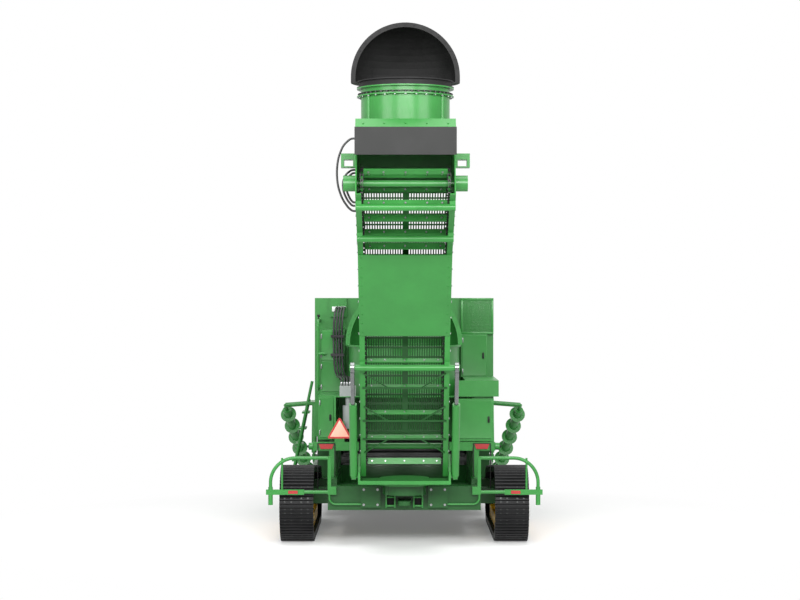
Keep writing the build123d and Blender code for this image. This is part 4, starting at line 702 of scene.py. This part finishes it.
DOORS = (
    # low and high (x, z), rear face y
    ((0.865, 2.275), (1.225, 2.875), -0.30),
    ((0.76, 1.44), (1.245, 1.975), -1.66),
    ((-1.215, 2.06), (-0.885, 2.50), -0.70),
    ((-1.215, 2.52), (-0.885, 2.94), -0.70),
    ((-1.215, 1.43), (-1.01, 2.00), -1.30),
)
LATCH_IN = 0.048
LATCH_HALF = (0.014, 0.045)
HINGE_INSET = 0.07
HINGE_HALF = 0.035
HINGE_R = 0.010
door_plates, latches, hinges = [], [], []
for (x0, z0), (x1, z1), y in DOORS:
    plate = slab((x0, y - 0.012, z0), (x1, y + 0.001, z1), 0.005)
    pick_faces(plate, lambda centre, normal: normal.y < -0.99)
    bpy.ops.mesh.inset(thickness=0.03, depth=-0.005)
    bpy.ops.object.mode_set(mode="OBJECT")
    door_plates.append(plate)
    middle_z = (z0 + z1) / 2
    latch_x = x1 - LATCH_IN
    latch_low = (latch_x - LATCH_HALF[0], y - 0.030, middle_z - LATCH_HALF[1])
    latch_high = (latch_x + LATCH_HALF[0], y - 0.010, middle_z + LATCH_HALF[1])
    latches.append(slab(latch_low, latch_high, 0.006))
    latches.append(bar((latch_x, y - 0.034, middle_z), (latch_x, y - 0.010, middle_z), 0.011, 16, 0.002))
    for z in (z0 + HINGE_INSET, z1 - HINGE_INSET):
        hinge_x, hinge_y = x0 + 0.008, y - 0.016
        hinge_ends = [(hinge_x, hinge_y, z + way * HINGE_HALF) for way in (-1, 1)]
        hinges.append(bar(*hinge_ends, HINGE_R, 14, 0.002))
dress(joined(door_plates, "rear_door_plates"), "chassis", green)
dress(joined(latches, "door_latches"), "chassis", hood_black)
dress(joined(hinges, "door_hinges"), "chassis", steel)

# Extractors: bolted flange, turning chain round the secondary ring, bolted box, cover and hood rims
SECONDARY_Y = -5.88
PRIMARY_Y = -0.9
FLANGE_UNDER = 5.8405
FLANGE_BOLT_R = 0.562
FLANGE_BOLTS = 28
flange_bolts = []
for step in range(FLANGE_BOLTS):
    turn = 2 * pi * step / FLANGE_BOLTS
    out = Vector((cos(turn), sin(turn), 0))
    flange_bolts.append(facing(Vector((0, SECONDARY_Y, FLANGE_UNDER)) + out * FLANGE_BOLT_R, (0, 0, -1)))
dress(copies(hex_head(0.026, 0.010), flange_bolts, "ring_bolts"), "elevator", steel)

ring_pins = [bar((-INNER_X, y, 0), (INNER_X, y, 0), RING_PIN_R, 8, 0.001) for y in (-LINK / 2, LINK / 2)]
ring_link = joined([link_plate(x, 0) for x in (-INNER_X, INNER_X)] + ring_pins, "ring_link")
RING_LINKS = 46
RING_CHAIN_R = 0.558
RING_CHAIN_Z = 5.868
ring_places = [
    Matrix.Translation((RING_CHAIN_R * cos(turn), SECONDARY_Y + RING_CHAIN_R * sin(turn), RING_CHAIN_Z))
    @ Matrix.Rotation(turn, 4, "Z") @ Matrix.Rotation(pi / 2, 4, "Y")
    for turn in (2 * pi * step / RING_LINKS for step in range(RING_LINKS))
]
ring_chain = copies(ring_link, ring_places, "turning_chain")
dress(ring_chain, "elevator", chain_steel)

BOX_BOLTS_X = (-0.50, -0.25, 0.0, 0.25, 0.50)
BOX_FACE = (-6.5014, 5.4804)
BOX_OUTWARD = (0, -0.701, 0.713)
COVER_BOLT_X = 0.55
COVER_BOLTS = 9
COVER_FACE = 0.0085
box_bolts = [facing((x, *BOX_FACE), BOX_OUTWARD) for x in BOX_BOLTS_X]
cover_start, cover_end = [Vector(point) for point in UNDERSIDE[1:3]]
cover_u = (cover_end - cover_start).normalized()
for x in (-COVER_BOLT_X, COVER_BOLT_X):
    for step in range(COVER_BOLTS):
        spot = cover_start.lerp(cover_end, 0.04 + 0.115 * step)
        spot += Vector((cover_u.y, -cover_u.x)) * COVER_FACE
        box_bolts.append(facing((x, SLEW_Y - spot.x, spot.y), (0, -cover_u.y, -cover_u.x)))
dress(copies(hex_head(0.024, 0.009), box_bolts, "cover_bolts"), "elevator", green)

RIM_REAR = 0.019
RIM_STEPS = 18
# hood's body, its axis, the height its arch springs from, and the bolts' radius
HOOD_RIMS = (("secondary_hood", SECONDARY_Y, 6.0903, 0.632), ("primary_hood", PRIMARY_Y, 2.7643, 0.82))
rim_bolts = {"secondary_hood": [], "primary_hood": []}
for name, centre_y, spring, radius in HOOD_RIMS:
    for step in range(1, RIM_STEPS):
        turn = pi * step / RIM_STEPS
        spot = (radius * cos(turn), centre_y - RIM_REAR, spring + radius * sin(turn))
        rim_bolts[name].append(facing(spot, REARWARD))
hood_bolts = copies(hex_head(0.020, 0.008), rim_bolts["secondary_hood"], "hood_rim_bolts")
dress(hood_bolts, "secondary_hood", hood_black)
arch_bolts = copies(hex_head(0.024, 0.009), rim_bolts["primary_hood"], "arch_rim_bolts")
dress(arch_bolts, "primary_hood", green)

# Hose ends: crimped ferrules where the hoses meet the valve block and the top box
HOSES = 4
HOSE_X = -0.88
HOSE_PITCH = 0.04
FERRULE_R = 0.019
# (y, z) of a ferrule's two ends at the box and at the valve block, which stands further right
BOX_ENDS = ((-0.19, 3.29), (-0.121, 3.29))
BLOCK_ENDS = ((-1.545, 2.181), (-1.545, 2.235))
BLOCK_OFFSET = 0.11
ferrules = []
for index in range(HOSES):
    x = HOSE_X - index * HOSE_PITCH
    for ferrule_x, (start, end) in ((x, BOX_ENDS), (x + BLOCK_OFFSET, BLOCK_ENDS)):
        ferrules.append(bar((ferrule_x, *start), (ferrule_x, *end), FERRULE_R, 12, 0.003))
dress(joined(ferrules, "hose_ferrules"), "chassis", steel)

# Rear beam: slew motor on the beam, bolted brackets
BEAM_REAR = -2.28
beam_parts = [bar((0.0, BEAM_REAR - 0.13, 0.80), (0.0, BEAM_REAR + 0.001, 0.80), 0.07, 24, 0.006)]
beam_parts.append(slab((-0.10, BEAM_REAR - 0.05, 0.70), (0.10, BEAM_REAR + 0.001, 0.90), 0.01))
# the swing motor takes the green darkened as painted shade
dress(joined(beam_parts, "swing_motor"), "chassis", shaded_green)
bracket_bolts = [
    facing((side * x, BEAM_REAR - 0.0705, z), REARWARD)
    for side in (-1, 1)
    for x in (0.37, 0.56)
    for z in (0.57, 0.78)
]
dress(copies(hex_head(0.036, 0.014), bracket_bolts, "bracket_bolts"), "chassis", steel)

# Cab: mirror faces, roof lamps and a padded seat
MIRROR_X = 1.437
MIRROR_HALF = 0.038
# (y, z) of a mirror face's low and high corners
MIRROR_LOW = (4.206, 2.945)
MIRROR_HIGH = (4.211, 3.175)
mirror_faces = [
    slab((x - MIRROR_HALF, *MIRROR_LOW), (x + MIRROR_HALF, *MIRROR_HIGH), 0.002)
    for x in (-MIRROR_X, MIRROR_X)
]
dress(joined(mirror_faces, "mirror_faces"), "chassis", rod_chrome)

ROOF_LAMPS_X = (-0.62, -0.42, 0.42, 0.62)
roof_lamps, roof_lenses = [], []
for x in ROOF_LAMPS_X:
    roof_lamps.append(slab((x - 0.075, 3.96, 3.389), (x + 0.075, 4.06, 3.427), 0.010))
    roof_lenses.append(slab((x - 0.062, 4.056, 3.396), (x + 0.062, 4.066, 3.421), 0.004))
dress(joined(roof_lamps, "roof_lamps"), "chassis", hood_black)
dress(joined(roof_lenses, "roof_lenses"), "chassis", pale_metal)

SEAT_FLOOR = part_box("cab_seat")[0][2]
PAD_VOXEL = 0.006
PAD_PRESSURE = 4.0
PAD_CAP = 0.014
CLOTH_STEPS = 20
SEAM_DEPTH = 0.008
SEAM_HALF = 0.014


def pad(name, low, high):
    """A cushion: a smaller block, remeshed and blown up as cloth, its movement capped."""
    obj = eased(slab(low, high, 0.012), 0.006)
    grid = obj.modifiers.new("grid", "REMESH")
    grid.mode = "VOXEL"
    grid.voxel_size = PAD_VOXEL
    only(obj)
    bpy.ops.object.modifier_apply(modifier="grid")
    rest = [vertex.co.copy() for vertex in obj.data.vertices]
    cloth = obj.modifiers.new("cloth", "CLOTH")
    cloth.settings.use_pressure = True
    cloth.settings.uniform_pressure_force = PAD_PRESSURE
    cloth.settings.effector_weights.gravity = 0.0
    cloth.point_cache.frame_end = CLOTH_STEPS
    for step in range(1, CLOTH_STEPS + 1):
        bpy.context.scene.frame_set(step)
    only(obj)
    bpy.ops.object.modifier_apply(modifier="cloth")
    for vertex, before in zip(obj.data.vertices, rest):
        move = vertex.co - before
        if move.length > PAD_CAP:
            vertex.co = before + move.normalized() * PAD_CAP
    bpy.context.scene.frame_set(1)
    obj.name = name
    return obj


def sewn(obj, lines, axis, way):
    """Presses sewn channels into the side of a pad that looks one way."""
    for vertex in obj.data.vertices:
        if vertex.normal.dot(way) > 0.4:
            nearest = min(abs(vertex.co[axis] - line) for line in lines)
            vertex.co -= way * SEAM_DEPTH * max(0.0, 1 - nearest / SEAM_HALF) ** 2


seat_pad = pad("seat_cushion", (-0.245, 3.016, SEAT_FLOOR + 0.362), (0.245, 3.504, SEAT_FLOOR + 0.456))
sewn(seat_pad, (-0.15, 0.0, 0.15), 0, Vector((0, 0, 1)))
back_pad = pad("seat_back", (-0.225, 2.966, SEAT_FLOOR + 0.484), (0.225, 3.044, SEAT_FLOOR + 1.114))
sewn(back_pad, (SEAT_FLOOR + 0.62, SEAT_FLOOR + 0.78, SEAT_FLOOR + 0.94), 2, Vector((0, 1, 0)))
for cushion in (seat_pad, back_pad):
    dress(cushion, "chassis", seat_cloth, 60)
seat_stand = joined(
    [
        slab((-0.2, 3.05, SEAT_FLOOR), (0.2, 3.45, SEAT_FLOOR + 0.352), 0.012),
        slab((-0.21, 2.952, SEAT_FLOOR + 0.40), (0.21, 2.97, SEAT_FLOOR + 1.05), 0.006),
        slab((-0.21, 2.952, SEAT_FLOOR + 0.345), (0.21, 3.30, SEAT_FLOOR + 0.366), 0.006),
        slab((0.28, 3.05, SEAT_FLOOR), (0.46, 3.67, SEAT_FLOOR + 0.62), 0.015),
        slab((0.19, 3.10, SEAT_FLOOR + 0.25), (0.29, 3.40, SEAT_FLOOR + 0.30), 0.008),
    ],
    "seat_stand",
)
dress(seat_stand, "chassis", hood_black)
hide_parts("cab_seat")

# Feed train inside the throat: slatted rollers, seen from behind under the elevator
FEED_HALF = 0.941
feed_parts = []
for y, z, radius in ((0.1, 1.0, 0.08), (0.7, 1.0, 0.08), (0.35, 1.22, 0.11), (0.95, 1.22, 0.11)):
    feed_parts.append(bar((-FEED_HALF, y, z), (FEED_HALF, y, z), radius, 24, 0.006))
    for step in range(8):
        turn = 2 * pi * step / 8
        foot = Vector((0, y + radius * cos(turn), z + radius * sin(turn)))
        strip = slab((-FEED_HALF + 0.03, -0.008, -0.012), (FEED_HALF - 0.03, 0.008, 0.022), 0.003)
        strip.data.transform(Matrix.Translation(foot) @ Matrix.Rotation(turn - pi / 2, 4, "X"))
        feed_parts.append(strip)
dress(joined(feed_parts, "feed_rollers"), "chassis", iron)

# a sheet across the throat in the green darkened as painted shade
bulkhead = slab((-FEED_HALF, -0.02, 0.559), (FEED_HALF, 0.01, 0.93), 0.004)
bulkhead.name = "throat_bulkhead"
dress(bulkhead, "chassis", shaded_green)

# Tie-down plates in the middle of the rear beam, with thin black sheets between them as painted shade for
# the recesses
tie_plates, recess_shade_sheets = [], []
for side in (-1, 1):
    for x in (0.13, 0.25):
        low = (side * x - 0.011, BEAM_REAR - 0.085, 0.53)
        tie_plates.append(slab(low, (side * x + 0.011, BEAM_REAR + 0.001, 0.82), 0.005))
    for z in (0.555, 0.675, 0.795):
        pin_y = BEAM_REAR - 0.055
        tie_plates.append(bar((side * 0.12, pin_y, z), (side * 0.26, pin_y, z), 0.014, 14, 0.002))
    # a black sheet on the beam face as painted shade in the recess
    low = (side * 0.19 - 0.05, BEAM_REAR - 0.006, 0.535)
    recess_shade_sheets.append(slab(low, (side * 0.19 + 0.05, BEAM_REAR + 0.001, 0.815), 0.002))
dress(joined(tie_plates, "tie_down_plates"), "chassis", green)
dress(joined(recess_shade_sheets, "painted_beam_shade"), "chassis", hood_black)

# Elevator underside: straps from lip to lip with diagonal braces
STRAP_X = 0.56
BRACE_X = (0.54, 0.22)
BRACE_DEPTH = -0.006
foot_u = (Vector(UNDERSIDE[1]) - Vector(UNDERSIDE[0])).normalized()


def under(x, along, depth):
    """A point on the elevator's lowest stretch."""
    spot = Vector(UNDERSIDE[0]) + foot_u * along + Vector((-foot_u.y, foot_u.x)) * depth
    return (x, SLEW_Y - spot.x, spot.y)


braces = []
for strap, start in ((1.45, 1.68), (0.92, 1.15), (0.62, 0.40)):
    ends = under(-STRAP_X, strap, BRACE_DEPTH), under(STRAP_X, strap, BRACE_DEPTH)
    braces.append(bar(*ends, 0.013, 10, 0.002))
    for side in (-1, 1):
        ends = under(side * BRACE_X[0], start, BRACE_DEPTH), under(side * BRACE_X[1], strap, BRACE_DEPTH)
        braces.append(bar(*ends, 0.011, 10, 0.002))
# the braces take the green darkened as painted shade
dress(joined(braces, "floor_braces"), "elevator", shaded_green)

# Small fittings on the left: a work lamp on the upper box and a knob on the handrail
work_lamp = slab((-1.07, -0.142, 3.228), (-1.012, -0.119, 3.302), 0.006)
work_lamp.name = "work_lamp"
dress(work_lamp, "chassis", pale_metal)
KNOB = (-1.255, -0.5)
rail_knob = joined(
    [
        bar((*KNOB, 3.118), (*KNOB, 3.152), 0.009),
        bar((*KNOB, 3.148), (*KNOB, 3.186), 0.021, 16, 0.008),
    ],
    "rail_knob",
)
dress(rail_knob, "chassis", hood_black)

# Floor, light and camera
FLOOR_SIZE = 400.0
FLOOR_WHITE = 0.80
FADE_NEAR = 3.2
FADE_FAR = 6.5
SHADOW_LIFT = 0.15
WORLD_LIGHT = 0.32


def seen_straight(tree):
    """One for rays from the camera, off gloss or through glass."""
    ray = tree.nodes.new("ShaderNodeLightPath")
    found = ray.outputs["Is Camera Ray"]
    for way in ("Is Glossy Ray", "Is Transmission Ray"):
        most = tree.nodes.new("ShaderNodeMath")
        most.operation = "MAXIMUM"
        tree.links.new(found, most.inputs[0])
        tree.links.new(ray.outputs[way], most.inputs[1])
        found = most.outputs["Value"]
    return found


def studio_floor():
    """Pale floor that keeps the shadow near the machine and turns plain white further off."""
    bpy.ops.mesh.primitive_plane_add(size=FLOOR_SIZE, location=(0, 0, 0))
    floor = bpy.context.object
    floor.name = "floor"
    material = bpy.data.materials.new("floor_white")
    material.use_nodes = True
    tree = material.node_tree
    shader = tree.nodes["Principled BSDF"]
    shader.inputs["Base Color"].default_value = (FLOOR_WHITE, FLOOR_WHITE, FLOOR_WHITE, 1)
    shader.inputs["Roughness"].default_value = 0.8
    place = tree.nodes.new("ShaderNodeTexCoord").outputs["Object"]
    length = tree.nodes.new("ShaderNodeVectorMath")
    length.operation = "LENGTH"
    tree.links.new(place, length.inputs[0])
    share = ranged(tree, length.outputs["Value"], SHADOW_LIFT, 1.0, FADE_NEAR, FADE_FAR)
    seen = tree.nodes.new("ShaderNodeMath")
    seen.operation = "MULTIPLY"
    tree.links.new(share, seen.inputs[0])
    tree.links.new(seen_straight(tree), seen.inputs[1])
    glow = tree.nodes.new("ShaderNodeEmission")
    mix = tree.nodes.new("ShaderNodeMixShader")
    tree.links.new(seen.outputs["Value"], mix.inputs["Fac"])
    tree.links.new(shader.outputs["BSDF"], mix.inputs[1])
    tree.links.new(glow.outputs["Emission"], mix.inputs[2])
    tree.links.new(mix.outputs["Shader"], tree.nodes["Material Output"].inputs["Surface"])
    floor.data.materials.append(material)


def studio_world():
    """White seen directly, softer as light."""
    world = bpy.data.worlds.new("studio")
    bpy.context.scene.world = world
    world.use_nodes = True
    tree = world.node_tree
    back = tree.nodes["Background"]
    tree.links.new(ranged(tree, seen_straight(tree), WORLD_LIGHT, 1.0, 0.0, 1.0), back.inputs["Strength"])
    back.inputs["Color"].default_value = (1, 1, 1, 1)


def softbox(name, place, target, width, height, power):
    """A large area lamp turned to a point."""
    light = bpy.data.lights.new(name, "AREA")
    light.shape = "RECTANGLE"
    light.size = width
    light.size_y = height
    light.energy = power
    obj = bpy.data.objects.new(name, light)
    obj.location = place
    obj.rotation_euler = (Vector(target) - Vector(place)).to_track_quat("-Z", "Y").to_euler()
    bpy.context.collection.objects.link(obj)


CAMERA_PLACE = (-0.101, -30.25, 3.40)
FOCAL_PIXELS = 2019.0
IMAGE_WIDTH = 800.0
SENSOR = 36.0
VANISHING_X = 397.0


def camera():
    """Level camera behind the machine, with the photograph's long lens."""
    lens_data = bpy.data.cameras.new("camera")
    lens_data.sensor_width = SENSOR
    lens_data.lens = SENSOR * FOCAL_PIXELS / IMAGE_WIDTH
    lens_data.clip_end = 1000.0
    obj = bpy.data.objects.new("camera", lens_data)
    obj.location = CAMERA_PLACE
    turn = atan2(IMAGE_WIDTH / 2 - VANISHING_X, FOCAL_PIXELS)
    obj.rotation_euler = (pi / 2, 0, -turn)
    bpy.context.collection.objects.link(obj)
    bpy.context.scene.camera = obj


studio_floor()
studio_world()
softbox("top_softbox", (0, -2, 14), (0, 0, 0), 12, 16, 2000)
softbox("left_softbox", (-9, -14, 8), (0, -2, 2.5), 6, 8, 1150)
softbox("right_softbox", (9, -14, 8), (0, -2, 2.5), 6, 8, 1150)
softbox("rear_softbox", (0, -24, 10), (0, -1, 2.8), 14, 5, 4600)
camera()
bpy.context.scene.view_settings.view_transform = "Standard"
